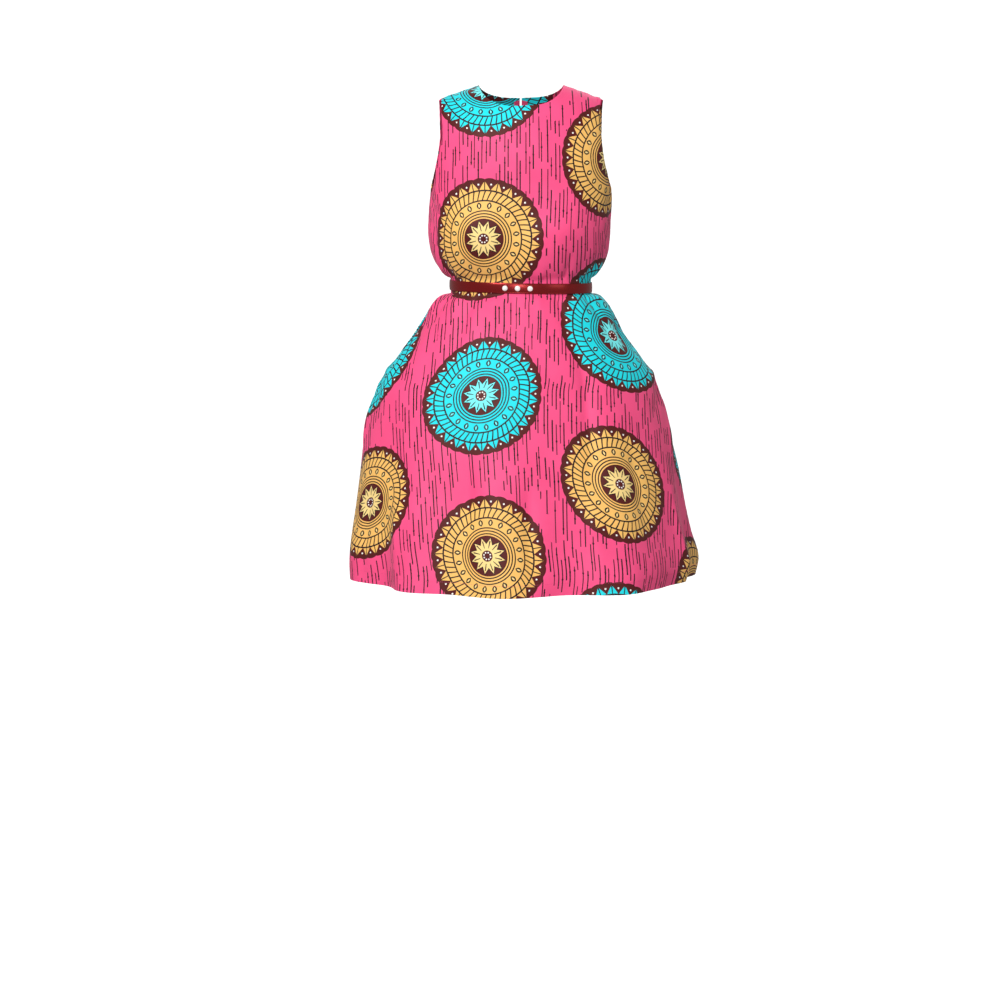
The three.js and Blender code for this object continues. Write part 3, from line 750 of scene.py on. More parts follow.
def skirt_front():
    def angle_of(u, level):
        return u * (math.pi / 2 - side_trim(level, front_side_gap(level)))
    return skirt_panel("skirt_front", angle_of, crowded(-1, 1, 176), skirt_cut(0.0, PRINT_FRONT))


def skirt_back(side):
    angle_of = back_angle(
        side,
        lambda level: 0 * level,
        lambda level: math.pi / 2 - side_trim(level, back_side_gap(level)),
    )
    columns = crowded(0, 1, 88, tight=(0.0045, 0.012, 0.024))
    name = "skirt_back_left" if side > 0 else "skirt_back_right"
    return skirt_panel(name, angle_of, columns, skirt_cut(side * math.pi, PRINT_BACK))


# ---------------------------------------------------------------- pockets and zip

POCKET_BAG_UP = {key: values[::-1] for key, values in POCKET_BAG.items()}

# The bag starts this far before the mouth's front edge, and ends this far past its back edge (mm).
BAG_FRONT_LAP = 1
BAG_BACK_LAP = 4

# Over what share of the reach the two layers part at the fold, and the powers that shape the rear one.
BAG_FOLD = 0.06
BAG_SKEW = 0.55
BAG_ROUNDNESS = 0.9


def pocket(side):
    """A bag of one folded sheet: along the front layer to the fold, and back along the rear layer."""
    rows = np.concatenate(([-352], np.linspace(-358, -590, 44), [-596, -600]))
    share = np.linspace(0, 1, 30)
    reach = column(POCKET_BAG_UP, "reach", rows)[:, None]
    full = column(POCKET_BAG_UP, "full", rows)[:, None]
    z = rows[:, None]
    depth_of = column(SECTIONS, "front", z)
    half = column(SECTIONS, "half", z)
    start = math.pi / 2 - (front_side_gap(z) + BAG_FRONT_LAP) / depth_of
    end = start - reach / half
    back = math.pi / 2 + (back_side_gap(z) + BAG_BACK_LAP) / depth_of
    front_angle = start + (end - start) * share[None, :]
    rear_angle = back + (end - back) * share[None, ::-1]
    outside = CLOTH_WALL + LAYER_GAP
    front_depth = np.full(front_angle.shape, outside)
    parted = 3 * POCKET_WALL * smoothstep(1 - share[::-1], 0, BAG_FOLD)
    belly = full * np.sin(math.pi * share[::-1] ** BAG_SKEW) ** BAG_ROUNDNESS
    hang = parted + belly
    rear_depth = outside + hang
    angle = side * np.concatenate((front_angle, rear_angle[:, 1:]), axis=1)
    depth = np.concatenate((front_depth, rear_depth[:, 1:]), axis=1)
    level = np.repeat(z, angle.shape[1], axis=1)
    outer = under_cloth(angle, level, depth)
    # the wall runs into the bag: towards the inside of the U between the layers
    along = np.gradient(outer, axis=1)
    down = np.gradient(outer, axis=0)
    wall = np.cross(along, down)
    wall = wall / np.maximum(np.linalg.norm(wall, axis=-1, keepdims=True), 1e-9)
    inner = outer + side * wall * LAYER
    flat_x = arc_lengths(outer, 1)
    flat_y = arc_lengths(outer, 0)[:, flat_x.shape[1] // 2][:, None]
    cut = np.stack(np.broadcast_arrays(flat_x * MM, -flat_y * MM), axis=-1)
    if side < 0:
        outer, inner = outer[:, ::-1], inner[:, ::-1]
    name = "pocket_left" if side > 0 else "pocket_right"
    piece = shell(name + "_cloth", outer, inner, cut)
    finish_piece(piece, "dress", "pocket_cotton", name)
    declare_cut(cut)
    return piece


# Half the least gap between the two tapes, and how far they stand back from the panels' edges (mm).
TAPE_EDGE = 0.35
TAPE_SET_BACK = 0.1


def zip_tape():
    neck = centre_back_level(NECK_BACK) - ZIP_DROP
    level = np.linspace(ZIP_BOTTOM, neck, 150)[:, None]
    pieces = []
    for side, name in ((1, "left"), (-1, "right")):
        inner_half = np.maximum(TAPE_EDGE, centre_back_half(level) + TAPE_SET_BACK)
        share = np.linspace(0, 1, 9)[None, :]
        x = inner_half + (TAPE_HALF - inner_half) * share
        angle = math.pi - side * angle_at_half(x, level)
        if side > 0:
            angle = angle[:, ::-1]
        spread = np.repeat(level, angle.shape[1], axis=1)
        outer = under_cloth(angle, spread, np.full(angle.shape, CLOTH_WALL + LAYER_GAP))
        inner = under_cloth(angle, spread, np.full(angle.shape, CLOTH_WALL + LAYER_GAP + TAPE_LAYER))
        flat_x, flat_y = arc_lengths(outer, 1) * MM, arc_lengths(outer, 0) * MM
        flat = np.stack((flat_x, flat_y), axis=-1)
        piece = shell("zip_tape_" + name, outer, inner, flat)
        finish_piece(piece, "dress", "zip_tape")
        declare_cut(flat)
        pieces.append(piece)
    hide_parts("zip_tape")
    return pieces


# ---------------------------------------------------------------- solids of small parts


def bar_mesh(starts, ends, ups, radius, sides=6):
    """Points and faces of many short rods with domed ends, joined in one mesh. All in mm."""
    stations = ((0.0, 0.0), (0.06, 0.75), (0.2, 1.0), (0.8, 1.0), (0.94, 0.75), (1.0, 0.0))
    along = ends - starts
    length = np.linalg.norm(along, axis=1, keepdims=True)
    along = along / length
    side = np.cross(along, ups)
    side = side / np.linalg.norm(side, axis=1, keepdims=True)
    ups = np.cross(side, along)
    turns = np.arange(sides) * 2 * math.pi / sides
    rings = []
    for share, size in stations:
        middle = starts + along * length * share
        size = max(size, 0.02)
        for turn in turns:
            rings.append(middle + radius * size * (math.cos(turn) * side + math.sin(turn) * ups))
    points = np.stack(rings, axis=1)
    count = points.shape[1]
    one = grid_faces(sides, len(stations), closed=True).tolist()
    faces = []
    caps = [list(range(sides))[::-1], list(range(count - sides, count))]
    for k in range(len(starts)):
        offset = k * count
        faces.extend([[i + offset for i in face] for face in one + caps])
    return points.reshape(-1, 3), faces


THREAD = 0.24
STITCH = 2.5
STITCH_PITCH = 3.6
EDGE_INSET = 6
MOUTH_INSET = 5
INSET_CURVE = 130    # radius of the cloth under a row of stitches


def walk(points, pitch):
    """Places at an even pitch along a polyline, as indices with fractions."""
    run = np.concatenate(([0], np.cumsum(np.linalg.norm(np.diff(points, axis=0), axis=1))))
    spots = np.arange(pitch, run[-1] - pitch, pitch)
    return np.interp(spots, run, np.arange(len(points)))


def sample(values, spots):
    low = np.clip(np.floor(spots).astype(int), 0, len(values) - 2)
    f = (spots - low)[:, None]
    return values[low] * (1 - f) + values[low + 1] * f


def stitch_row(points, normals):
    """Starts, ends and outward directions of one row of stitches along a line on the cloth."""
    spots = walk(points, STITCH_PITCH)
    middle, normal = sample(points, spots), sample(normals, spots)
    ahead = sample(points, np.clip(spots + 0.05, 0, len(points) - 1.001))
    direction = ahead - middle
    direction = direction / np.maximum(np.linalg.norm(direction, axis=1, keepdims=True), 1e-9)
    middle = middle + normal * THREAD * 0.3
    return middle - direction * STITCH / 2, middle + direction * STITCH / 2, normal


def inset_line(points, normals, inwards, inset):
    """A line that runs beside an edge at a distance, on the cloth."""
    tangent = np.gradient(points, axis=0)
    tangent = tangent / np.maximum(np.linalg.norm(tangent, axis=1, keepdims=True), 1e-9)
    across = np.cross(normals, tangent)
    across = across * np.sign(np.sum(across * inwards, axis=1, keepdims=True))
    return points + across * inset - normals * inset ** 2 / (2 * INSET_CURVE)


def stitching(panels):
    rows = []

    def along_edge(panel, pick, towards, inset):
        points, normals = panel["outer"][pick], panel["normal"][pick]
        inwards = panel["outer"][towards] - points
        rows.append(stitch_row(inset_line(points, normals, inwards, inset), normals))

    for panel in panels["skirt"]:
        row = int(np.argmin(np.abs(SKIRT_ROWS - (HEM + HEM_TURN - 2))))
        rows.append(stitch_row(panel["outer"][row], panel["normal"][row]))
    for panel in panels["bodice"]:
        levels = panel["level"]
        top = levels[-1] < SHOULDER_TOP - 1
        pick = np.where(top)[0]
        along_edge(panel, (-1, pick), (-14, pick), EDGE_INSET)
        arm = np.where(levels[:, 0] > UNDERARM + 1)[0]
        if "front" in panel["piece"].name:
            edges = ((0, 6), (-1, -7))
        else:
            edges = ((0, 6),) if "left" in panel["piece"].name else ((-1, -7),)
        for edge, beside in edges:
            along_edge(panel, (arm, edge), (arm, beside), EDGE_INSET)
    front = panels["skirt"][0]
    mouth = np.where((SKIRT_ROWS < MOUTH_TOP) & (SKIRT_ROWS > MOUTH_BOTTOM))[0]
    for edge, beside in ((0, 8), (-1, -9)):
        along_edge(front, (mouth, edge), (mouth, beside), MOUTH_INSET)
    starts, ends, ups = (np.concatenate(part) for part in zip(*rows))
    points, faces = bar_mesh(starts, ends, ups, THREAD, sides=5)
    piece = new_object("stitching", points * MM, faces, 60)
    finish_piece(piece, "dress", "wax_print")
    return piece


COIL = {"from_ends": (8, 10), "pitch": 1.5, "depth": 1.3, "near": 0.05, "far": 2.6, "radius": 0.5}
COIL_STAGGER = {1: 0.4, -1: -0.35}


def zip_coil():
    """The zip's coil teeth along the tapes' inner edges, below the slider."""
    bottom, top = ZIP_BOTTOM + COIL["from_ends"][0], SLIT_LEVEL - COIL["from_ends"][1]
    levels = np.arange(bottom, top, COIL["pitch"])
    depth = CLOTH_WALL + LAYER_GAP + COIL["depth"]
    spans = []
    for side in (1, -1):
        shifted = levels + COIL_STAGGER[side]
        near = math.pi - side * angle_at_half(np.full(len(levels), COIL["near"]), shifted)
        far = math.pi - side * angle_at_half(np.full(len(levels), COIL["far"]), shifted)
        flat = np.full(len(levels), depth)
        ends = under_cloth(near, shifted, flat), under_cloth(far, shifted, flat)
        spans.append((*ends, form_normal(near, shifted)))
    starts, ends, ups = (np.concatenate(part) for part in zip(*spans))
    points, faces = bar_mesh(starts, ends, ups, COIL["radius"], sides=6)
    piece = new_object("zip_coil", points * MM, faces, 60)
    finish_piece(piece, "dress", "zip_tape")
    return piece


# ---------------------------------------------------------------- belt

BELT_PAST = BELT["overlap"] / BELT_RADIUS
BELT_START, BELT_END = -math.pi - BELT_PAST / 2, math.pi + BELT_PAST / 2


def belt_level(angle, across):
    return BELT["z"] - BELT["tilt"] * form_point(angle, BELT["z"])[..., 0] + across * BELT["width"]


def belt_outside(u):
    lap = smoothstep(u, 1 - 2 * BELT_RAMP, 1 - BELT_RAMP)
    return BELT["clearance"] + BELT["wall"] + lap * (BELT["wall"] + SEAM_GAP)


# The strap's section: place across the width, and how far in from the outer face, both as shares.
BELT_SECTION = table("across inwards", (
    (-0.50, 0.50), (-0.492, 0.26), (-0.465, 0.12), (-0.43, 0.06), (-0.40, 0.06), (-0.385, 0.10),
    (-0.37, 0.05), (-0.33, 0.01), (-0.24, -0.06), (-0.12, -0.10), (0.0, -0.11), (0.12, -0.10),
    (0.24, -0.06), (0.33, 0.01), (0.37, 0.05), (0.385, 0.10), (0.40, 0.06), (0.43, 0.06),
    (0.465, 0.12), (0.492, 0.26), (0.50, 0.50), (0.492, 0.78), (0.46, 1.0), (0.0, 1.0),
    (-0.46, 1.0), (-0.492, 0.78),
))


TIP_LEAST = 0.02


def belt_strap():
    length = BELT_RADIUS * (BELT_END - BELT_START)
    u = np.concatenate((np.linspace(0, 0.975, 330), 1 - 0.025 * np.linspace(1, 0, 16)[1:] ** 2))
    left = np.clip((1 - u) * length, 0, BELT["tip"]) / BELT["tip"]
    shrink = np.sqrt(np.maximum(TIP_LEAST, 1 - (1 - left) ** 2))
    across = BELT_SECTION["across"][None, :] * shrink[:, None]
    inwards = BELT_SECTION["inwards"][None, :] * BELT["wall"]
    angle = np.repeat((BELT_START + (BELT_END - BELT_START) * u)[:, None], across.shape[1], axis=1)
    points = off_form(angle, belt_level(angle, across), belt_outside(u)[:, None] - inwards)
    nu, nv = points.shape[1], points.shape[0]
    faces = grid_faces(nu, nv, closed=True)[:, ::-1].tolist()
    faces += [list(range(nu)), list(range(nu * (nv - 1), nu * nv))[::-1]]
    piece = new_object("belt", points.reshape(-1, 3) * MM, faces, 50)
    finish_piece(piece, "dress", "red_patent", "belt_strap")
    return piece


# Share of a dome's rise that is its upright rim.
DOME_RIM = 0.3


def dome(name, size, angle, stand_off, slot, node, rings=10, sides=40):
    """A low dome with a rounded foot, standing on the strap."""
    level = float(belt_level(np.array(angle), 0))
    normal = form_normal(angle, level)
    foot = form_point(angle, level) + normal * (stand_off + SEAM_GAP)
    rim = size["rise"] * DOME_RIM
    turns = np.linspace(0, math.pi / 2, rings)
    profile = [(size["radius"] * 0.93, 0.0), (size["radius"], rim * 0.4)]
    bulge = size["rise"] - rim
    profile += [(size["radius"] * math.cos(t), rim + bulge * math.sin(t)) for t in turns[:-1]]
    side = np.cross(normal, (0, 0, 1.0))
    side = side / np.linalg.norm(side)
    up = np.cross(side, normal)
    points, ring = [], np.arange(sides) * 2 * math.pi / sides
    for radius, height in profile:
        points += [foot + normal * height + radius * (math.cos(t) * side + math.sin(t) * up) for t in ring]
    faces = grid_faces(sides, len(profile), closed=True).tolist()
    points += [foot, foot + normal * size["rise"]]
    last = (len(profile) - 1) * sides
    for i in range(sides):
        faces.append([(i + 1) % sides, i, len(points) - 2])
        faces.append([last + i, last + (i + 1) % sides, len(points) - 1])
    piece = new_object(name, np.array(points) * MM, faces, 50)
    with_outward_faces(piece)
    finish_piece(piece, "dress", slot, node)
    return piece


def with_outward_faces(piece):
    mesh = bmesh.new()
    mesh.from_mesh(piece.data)
    bmesh.ops.recalc_face_normals(mesh, faces=mesh.faces)
    mesh.to_mesh(piece.data)
    mesh.free()


def belt_studs():
    face = BELT["clearance"] + BELT["wall"]
    studs = []
    for index, place in enumerate((-1, 0, 1)):
        x = STUD["middle"] + place * STUD["spacing"]
        angle = math.copysign(float(angle_at_half(abs(x), BELT["z"])), x)
        studs.append(dome(f"stud_{index + 1}", STUD, angle, face, "white_stud", f"belt_stud_{index + 1}"))
    return studs


# ---------------------------------------------------------------- materials


class Field:
    """One number at every point of a surface: a socket of a node tree, with the usual arithmetic."""

    def __init__(self, tree, socket):
        self.tree = tree
        self.socket = socket

    def math(self, operation, *others, clamp=False):
        node = self.tree.nodes.new("ShaderNodeMath")
        node.operation = operation
        node.use_clamp = clamp
        for slot, value in zip(node.inputs, (self, *others)):
            if isinstance(value, Field):
                self.tree.links.new(value.socket, slot)
            else:
                slot.default_value = value
        return Field(self.tree, node.outputs[0])

    def __add__(self, other):
        return self.math("ADD", other)

    def __sub__(self, other):
        return self.math("SUBTRACT", other)

    def __mul__(self, other):
        return self.math("MULTIPLY", other)

    def __truediv__(self, other):
        return self.math("DIVIDE", other)

    def __lt__(self, other):
        return self.math("LESS_THAN", other)

    def __gt__(self, other):
        return self.math("GREATER_THAN", other)

    def __and__(self, other):
        return self.math("MULTIPLY", other)

    def __or__(self, other):
        return self.math("MAXIMUM", other)

    def floor(self):
        return self.math("FLOOR")

    def fract(self):
        return self.math("FRACT")

    def abs(self):
        return self.math("ABSOLUTE")

    def between(self, low, high):
        return (self > low) & (self < high)


def fabric_tree(name):
    material = bpy.data.materials.new(name)
    material.use_nodes = True
    tree = material.node_tree
    return material, tree, tree.nodes["Principled BSDF"]


def cut_fields(tree):
    """The flat cut's two coordinates, in metres."""
    source = tree.nodes.new("ShaderNodeUVMap")
    source.uv_map = "cut"
    split = tree.nodes.new("ShaderNodeSeparateXYZ")
    tree.links.new(source.outputs[0], split.inputs[0])
    return source, Field(tree, split.outputs[0]), Field(tree, split.outputs[1])


def vector(tree, x, y, z=0.0):
    node = tree.nodes.new("ShaderNodeCombineXYZ")
    for slot, value in zip(node.inputs, (x, y, z)):
        if isinstance(value, Field):
            tree.links.new(value.socket, slot)
        else:
            slot.default_value = value
    return node.outputs[0]


def chance(tree, x, y, seed):
    """A number from 0 to 1 that is fixed for each whole x and y."""
    node = tree.nodes.new("ShaderNodeTexWhiteNoise")
    node.noise_dimensions = "3D"
    tree.links.new(vector(tree, x, y, seed), node.inputs["Vector"])
    return Field(tree, node.outputs["Value"])


def noise(tree, coordinates, scale, detail=2.0):
    node = tree.nodes.new("ShaderNodeTexNoise")
    node.inputs["Scale"].default_value = scale
    node.inputs["Detail"].default_value = detail
    tree.links.new(coordinates, node.inputs["Vector"])
    return Field(tree, node.outputs["Fac"])


class Paint:
    """A colour that takes further coats of colour where a field is 1."""

    def __init__(self, tree, colour):
        self.tree = tree
        self.socket = None
        self.colour = (*colour, 1)

    def coat(self, colour, where):
        node = self.tree.nodes.new("ShaderNodeMix")
        node.data_type = "RGBA"
        self.tree.links.new(where.socket, node.inputs[0])
        if self.socket is None:
            node.inputs[6].default_value = self.colour
        else:
            self.tree.links.new(self.socket, node.inputs[6])
        if isinstance(colour, Paint):
            self.tree.links.new(colour.socket, node.inputs[7])
        else:
            node.inputs[7].default_value = (*colour, 1)
        self.socket = node.outputs[2]
        return self


def linear(red, green, blue):
    """A screen colour, 0 to 255, as scene-linear light."""
    shares = (red / 255, green / 255, blue / 255)
    return tuple(c / 12.92 if c <= 0.04045 else ((c + 0.055) / 1.055) ** 2.4 for c in shares)


PINK = linear(250, 82, 136)
PINK_DEEP = linear(236, 66, 120)
TURQUOISE = linear(24, 222, 232)
TURQUOISE_LIGHT = linear(120, 238, 240)
GOLD = linear(248, 192, 104)
GOLD_LIGHT = linear(250, 218, 142)
MAROON = linear(84, 16, 14)
INK = linear(34, 12, 20)
WHITE = linear(250, 246, 240)

# The repeat of the print, in metres: medallions in half-drop columns on a ground of broken upright lines.
REPEAT_ACROSS = 0.232
REPEAT_UP = 0.272
MEDALLION = 0.102
PRINT_UP = 0.088
PRINT_FRONT = 0.062
PRINT_BACK = -0.04
LINE_PITCH = 0.0072
LINE_WIDTH = 0.0018
DASH_PITCH = 0.078
KNOT = 0.0016


def broken_lines(tree, u, v):
    """Upright broken lines with small knots, drawn thin and uneven as with a brush, and bare patches."""
    lane = (u / LINE_PITCH).floor()
    wander = chance(tree, lane, 0.0, 3.3) * 0.5 + 0.25
    across = ((u / LINE_PITCH).fract() - wander).abs() * LINE_PITCH
    step = v / DASH_PITCH + chance(tree, lane, 0.0, 1.7) * 5.0
    cell, place = step.floor(), step.fract()
    length = chance(tree, lane, cell, 5.3) * 0.60 + 0.38
    width = chance(tree, lane, cell, 7.9) * 0.0005 + LINE_WIDTH / 2 - 0.0002
    patch = noise(tree, vector(tree, u, v * 0.5), 8.0, 1.0)
    shown = chance(tree, lane, cell, 9.1) < (patch * 3.6 - 0.7)
    dash = (across < width) & (place < length)
    knot_at = length * (chance(tree, lane, cell, 2.4) * 0.8 + 0.1)
    along = (place - knot_at) * DASH_PITCH
    knot = (across * across + along * along * 0.5) < KNOT ** 2
    return (dash | knot) & shown


def ring_line(radius, middle, width):
    return (radius - middle).abs() < width / 2


def medallion(tree, u, v):
    """One repeat's medallion: fields that are 1 where each coat of colour goes."""
    lane = (u / REPEAT_ACROSS + 0.5).floor()
    x = u - lane * REPEAT_ACROSS
    odd = (lane * 0.5).fract() * 2.0
    shifted = v - PRINT_UP - odd * (REPEAT_UP / 2)
    cell = (shifted / REPEAT_UP + 0.5).floor()
    y = shifted - cell * REPEAT_UP
    radius = (x * x + y * y).math("SQRT") / MEDALLION
    turn = y.math("ARCTAN2", x)
    second = (cell * 0.5).fract() * 2.0

    def waves(count, phase=0.0, slant=0.0):
        """A triangle wave, 0 at its middle and 1 at its ends, count times round the medallion."""
        place = turn * (count / (2 * math.pi)) + radius * slant + (phase + 40)
        return (place.fract() * 2.0 - 1.0).abs()

    def across(count, middle, phase=0.0):
        """Distance from the nearest of count spokes, at about the middle radius."""
        return waves(count, phase) * (math.pi * middle / count)

    def dots(count, middle, size, phase=0.0):
        side, out = across(count, middle, phase), radius - middle
        return (side * side + out * out) < size ** 2

    scallop = waves(32).math("POWER", 2.0) * -0.020 + 1.0
    drop = ((radius - 0.548) / 0.058).math("POWER", 2.0) + across(20, 0.548) / 0.040
    petal = waves(12).math("POWER", 0.7) * -0.11 + 0.315
    tooth = (radius - 0.795) / 0.15
    tooth_edge = waves(26) * -1.0 + 1.0
    return {
        "second": second,
        "disc": radius < scallop,
        "rim": radius > scallop - 0.052,
        "teeth": radius.between(0.795, 0.95) & (tooth > tooth_edge),
        "facets": radius.between(0.795, 0.94) & (across(26, 0.86) < 0.009) & (tooth < tooth_edge),
        "tooth_dots": dots(26, 0.895, 0.0155, 0.5),
        "hatch": radius.between(0.63, 0.79) & (waves(50, 0.0, 4.0) < 0.25),
        "rings": ring_line(radius, 0.793, 0.026) | ring_line(radius, 0.628, 0.024)
        | ring_line(radius, 0.462, 0.020) | ring_line(radius, 0.414, 0.020)
        | ring_line(radius, 0.366, 0.020),
        "drops": drop < 1.0,
        "drop_hearts": drop < 0.36,
        "rosette": radius < 0.335,
        "petals": radius < petal,
        "petal_edges": (radius - petal).abs() < 0.012,
        "petal_veins": radius.between(0.13, 0.25) & (across(12, 0.19) < 0.008),
        "eye": radius < 0.092,
        "eye_dots": dots(8, 0.058, 0.013),
    }


def wax_print():
    """Printed cotton: the pattern, an uneven dye, a faint glaze and slubs in both ways of the weave."""
    material, tree, shader = fabric_tree("wax_print")
    source, u, v = cut_fields(tree)
    shape = medallion(tree, u, v)
    dye = noise(tree, source.outputs[0], 16.0, 4.0)
    uneven = (dye - 0.40).math("MULTIPLY", 2.2, clamp=True)
    cloth = Paint(tree, PINK).coat(PINK_DEEP, uneven * 0.5)
    cloth.coat(INK, broken_lines(tree, u, v))
    base = Paint(tree, GOLD).coat(TURQUOISE, shape["second"])
    light = Paint(tree, GOLD_LIGHT).coat(TURQUOISE_LIGHT, shape["second"])
    base.coat(INK, shape["rings"] | shape["hatch"])
    base.coat(INK, shape["drops"])
    base.coat(light, shape["drop_hearts"])
    base.coat(MAROON, shape["teeth"] | shape["rosette"])
    base.coat(INK, shape["facets"])
    base.coat(WHITE, shape["tooth_dots"])
    base.coat(light, shape["petals"])
    base.coat(INK, shape["petal_edges"] | shape["petal_veins"])
    base.coat(MAROON, shape["eye"] | shape["rim"])
    base.coat(WHITE, shape["eye_dots"])
    cloth.coat(base, shape["disc"])
    tree.links.new(cloth.socket, shader.inputs["Base Color"])
    weave(tree, shader, u, v, dye)
    shader.inputs["Sheen Weight"].default_value = 0.08
    shader.inputs["Sheen Roughness"].default_value = 0.45
    shader.inputs["Specular IOR Level"].default_value = 0.30
    return material


SLUB_LENGTH, SLUB_WIDTH = 55.0, 1100.0


def weave(tree, shader, u, v, uneven, depth=0.00012):
    """Slubs along the warp and the weft as bump, and a roughness that varies a little with the finish."""
    warp = noise(tree, vector(tree, u * SLUB_WIDTH, v * SLUB_LENGTH), 1.0, 2.0)
    weft = noise(tree, vector(tree, u * SLUB_LENGTH, v * SLUB_WIDTH, 3.0), 1.0, 2.0)
    bump = tree.nodes.new("ShaderNodeBump")
    bump.inputs["Strength"].default_value = 0.5
    bump.inputs["Distance"].default_value = depth
    tree.links.new((warp + weft).socket, bump.inputs["Height"])
    tree.links.new(bump.outputs[0], shader.inputs["Normal"])
    rough = uneven * 0.22 + 0.52
    tree.links.new(rough.socket, shader.inputs["Roughness"])


def plain_cotton(name, colour, deep):
    material, tree, shader = fabric_tree(name)
    source, u, v = cut_fields(tree)
    uneven = noise(tree, source.outputs[0], 60.0, 4.0)
    paint = Paint(tree, colour).coat(deep, uneven)
    tree.links.new(paint.socket, shader.inputs["Base Color"])
    weave(tree, shader, u, v, uneven, 0.0002)
    shader.inputs["Sheen Weight"].default_value = 0.1
    return material


def object_noise(tree, scale, detail=3.0):
    source = tree.nodes.new("ShaderNodeTexCoord")
    return noise(tree, source.outputs["Object"], scale, detail)


def hard_finish(name, colour, deep, metal, rough, rough_spread, grain, coat=0.0, bump=0.00002):
    """Patent, metal or pearl: a colour that varies softly, fine grain and small changes of gloss."""
    material, tree, shader = fabric_tree(name)
    field = object_noise(tree, grain)
    paint = Paint(tree, colour).coat(deep, field)
    tree.links.new(paint.socket, shader.inputs["Base Color"])
    roughness = field * rough_spread + rough
    tree.links.new(roughness.socket, shader.inputs["Roughness"])
    node = tree.nodes.new("ShaderNodeBump")
    node.inputs["Strength"].default_value = 0.3
    node.inputs["Distance"].default_value = bump
    tree.links.new(object_noise(tree, grain * 6).socket, node.inputs["Height"])
    tree.links.new(node.outputs[0], shader.inputs["Normal"])
    shader.inputs["Metallic"].default_value = metal
    shader.inputs["Coat Weight"].default_value = coat
    shader.inputs["Coat Roughness"].default_value = 0.05
    return material


def wear(piece, material):
    piece.data.materials.clear()
    piece.data.materials.append(material)


# ---------------------------------------------------------------- camera, light and stage

FLOOR_Z = -1.56
FLOOR_EYE = 0.0004    # radius of the eye in the middle of the round floor, too small to see
CAMERA_PLACE = (-0.036, -4.0, -0.14)
CAMERA_AIM = (-0.036, 0.0, -0.705)
LIGHTS_AIM = (0, 0, -0.45)
WORLD_STRENGTH = 0.34


def camera():
    data = bpy.data.cameras.new("camera")
    item = bpy.data.objects.new("camera", data)
    bpy.context.collection.objects.link(item)
    data.lens = 83.0
    data.sensor_width = 36.0
    data.clip_end = 60
    item.location = CAMERA_PLACE
    aim = Vector(CAMERA_AIM)
    item.rotation_euler = (aim - item.location).to_track_quat("-Z", "Y").to_euler()
    bpy.context.scene.camera = item


def area_light(name, location, aim, size, power, colour=(1, 1, 1)):
    data = bpy.data.lights.new(name, "AREA")
    data.shape = "RECTANGLE"
    data.size, data.size_y = size
    data.energy = power
    data.color = colour
    item = bpy.data.objects.new(name, data)
    bpy.context.collection.objects.link(item)
    item.location = location
    item.rotation_euler = (Vector(aim) - Vector(location)).to_track_quat("-Z", "Y").to_euler()


def stage():
    """A round white studio: a pale floor that sweeps up into a wall. It is seen, but gives no light."""
    floor_radius, sweep, height, around = 5.0, 1.5, 3.0, 96
    profile = [(FLOOR_EYE, FLOOR_Z), (floor_radius, FLOOR_Z)]
    for step in range(1, 13):
        turn = step / 12 * math.pi / 2
        profile.append((floor_radius + sweep * math.sin(turn), FLOOR_Z + sweep * (1 - math.cos(turn))))
    profile.append((floor_radius + sweep, FLOOR_Z + sweep + height))
    turns = np.linspace(0, 2 * math.pi, around, endpoint=False)
    points = [(r * math.cos(t), r * math.sin(t), z) for r, z in profile for t in turns]
    studio = new_object("studio", np.array(points), grid_faces(around, len(profile), closed=True), 60)
    material, _, shader = fabric_tree("studio_white")
    shader.inputs["Base Color"].default_value = (0.9, 0.9, 0.9, 1)
    shader.inputs["Roughness"].default_value = 0.9
    shader.inputs["Emission Color"].default_value = (1, 1, 1, 1)
    shader.inputs["Emission Strength"].default_value = 0.75
    wear(studio, material)
    studio.visible_diffuse = False
    studio.visible_glossy = False
    studio.visible_shadow = False


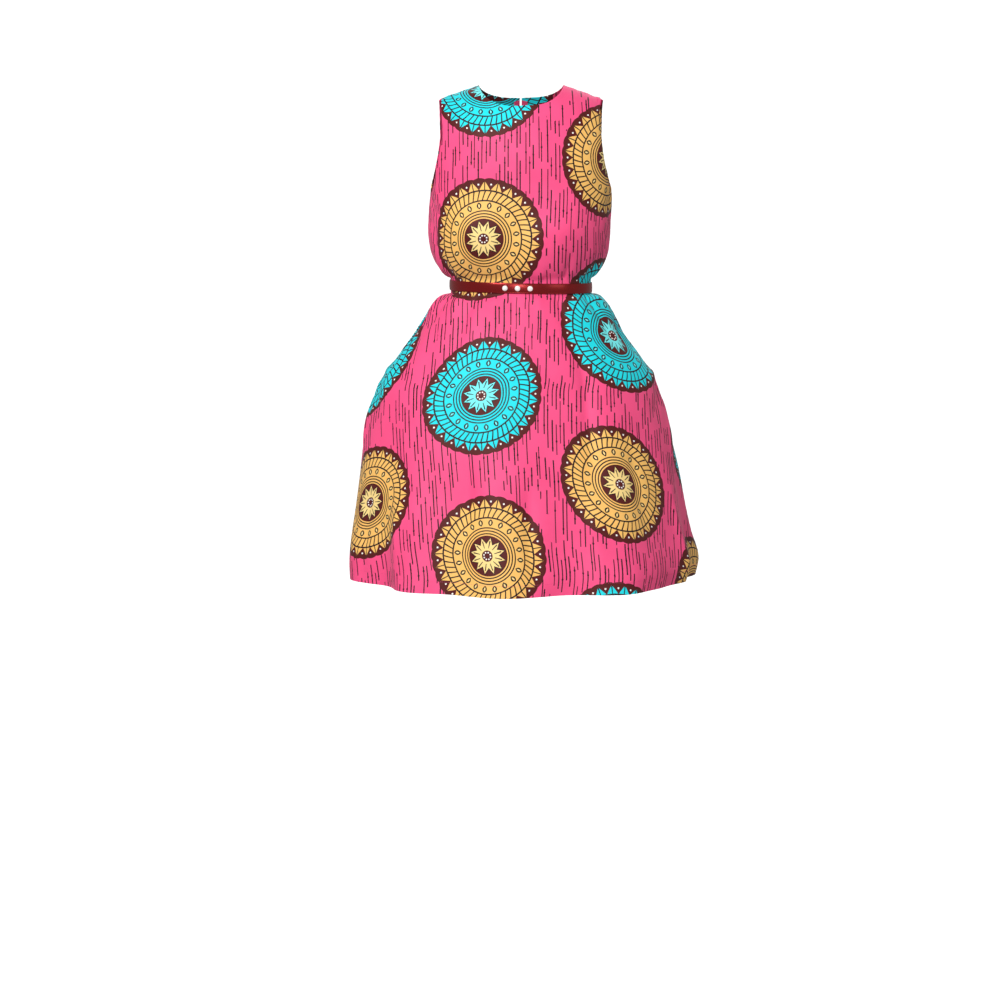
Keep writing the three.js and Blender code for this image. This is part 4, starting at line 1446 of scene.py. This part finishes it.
def lights():
    world = bpy.data.worlds.new("studio")
    bpy.context.scene.world = world
    world.use_nodes = True
    world.node_tree.nodes["Background"].inputs["Color"].default_value = (1, 1, 1, 1)
    world.node_tree.nodes["Background"].inputs["Strength"].default_value = WORLD_STRENGTH
    area_light("key", (-1.6, -3.5, 1.9), LIGHTS_AIM, (0.8, 0.8), 158)
    area_light("fill", (2.8, -3.0, 0.5), LIGHTS_AIM, (1.8, 1.8), 12)
    area_light("front", (-0.1, -4.4, 0.3), LIGHTS_AIM, (0.5, 1.1), 18)
    area_light("back", (0.5, 3.0, 2.0), LIGHTS_AIM, (3.0, 1.6), 40)
    scene = bpy.context.scene
    scene.view_settings.view_transform = "Standard"
    scene.view_settings.look = "None"


# ---------------------------------------------------------------- the scene

camera()
lights()
stage()

bodice = [bodice_front(), bodice_back(1), bodice_back(-1)]
skirt = [skirt_front(), skirt_back(1), skirt_back(-1)]
pockets = [pocket(1), pocket(-1)]
tapes = zip_tape()
coil = zip_coil()
seams = stitching({"bodice": bodice, "skirt": skirt})
strap = belt_strap()
studs = belt_studs()
snap = dome("snap", SNAP, math.pi, float(belt_outside(1.0)), "zip_metal", "belt_snap")

printed = wax_print()
for panel in bodice + skirt:
    wear(panel["piece"], printed)
pocket_cotton = plain_cotton("pocket_cotton", PINK, PINK_DEEP)
for bag in pockets:
    wear(bag, pocket_cotton)
tape_cloth = plain_cotton("zip_tape", linear(214, 70, 118), linear(190, 52, 98))
for tape in tapes:
    wear(tape, tape_cloth)
wear(coil, hard_finish("zip_coil", linear(206, 74, 120), linear(180, 56, 98), 0.0, 0.35, 0.15, 300))
wear(seams, hard_finish("thread", linear(232, 78, 130), linear(205, 58, 110), 0.0, 0.55, 0.2, 900))
patent = hard_finish("red_patent", linear(88, 4, 6), linear(70, 3, 5), 0.0, 0.2, 0.08, 60, coat=0.12)
gloss = patent.node_tree.nodes["Principled BSDF"].inputs
gloss["IOR"].default_value = 2.0
gloss["Specular IOR Level"].default_value = 1.0
gloss["Specular Tint"].default_value = (1.0, 0.1, 0.1, 1)
wear(strap, patent)
stud_white = linear(248, 246, 243)
pearl = hard_finish("white_stud", stud_white, linear(235, 230, 226), 0.0, 0.12, 0.08, 150, coat=0.6)
for stud in studs:
    wear(stud, pearl)
nickel = hard_finish("zip_metal", (0.80, 0.79, 0.77), (0.66, 0.65, 0.64), 1.0, 0.16, 0.16, 260)
wear(snap, nickel)
for node in ("zip_slider", "zip_pull"):
    wear(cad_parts[node], nickel)
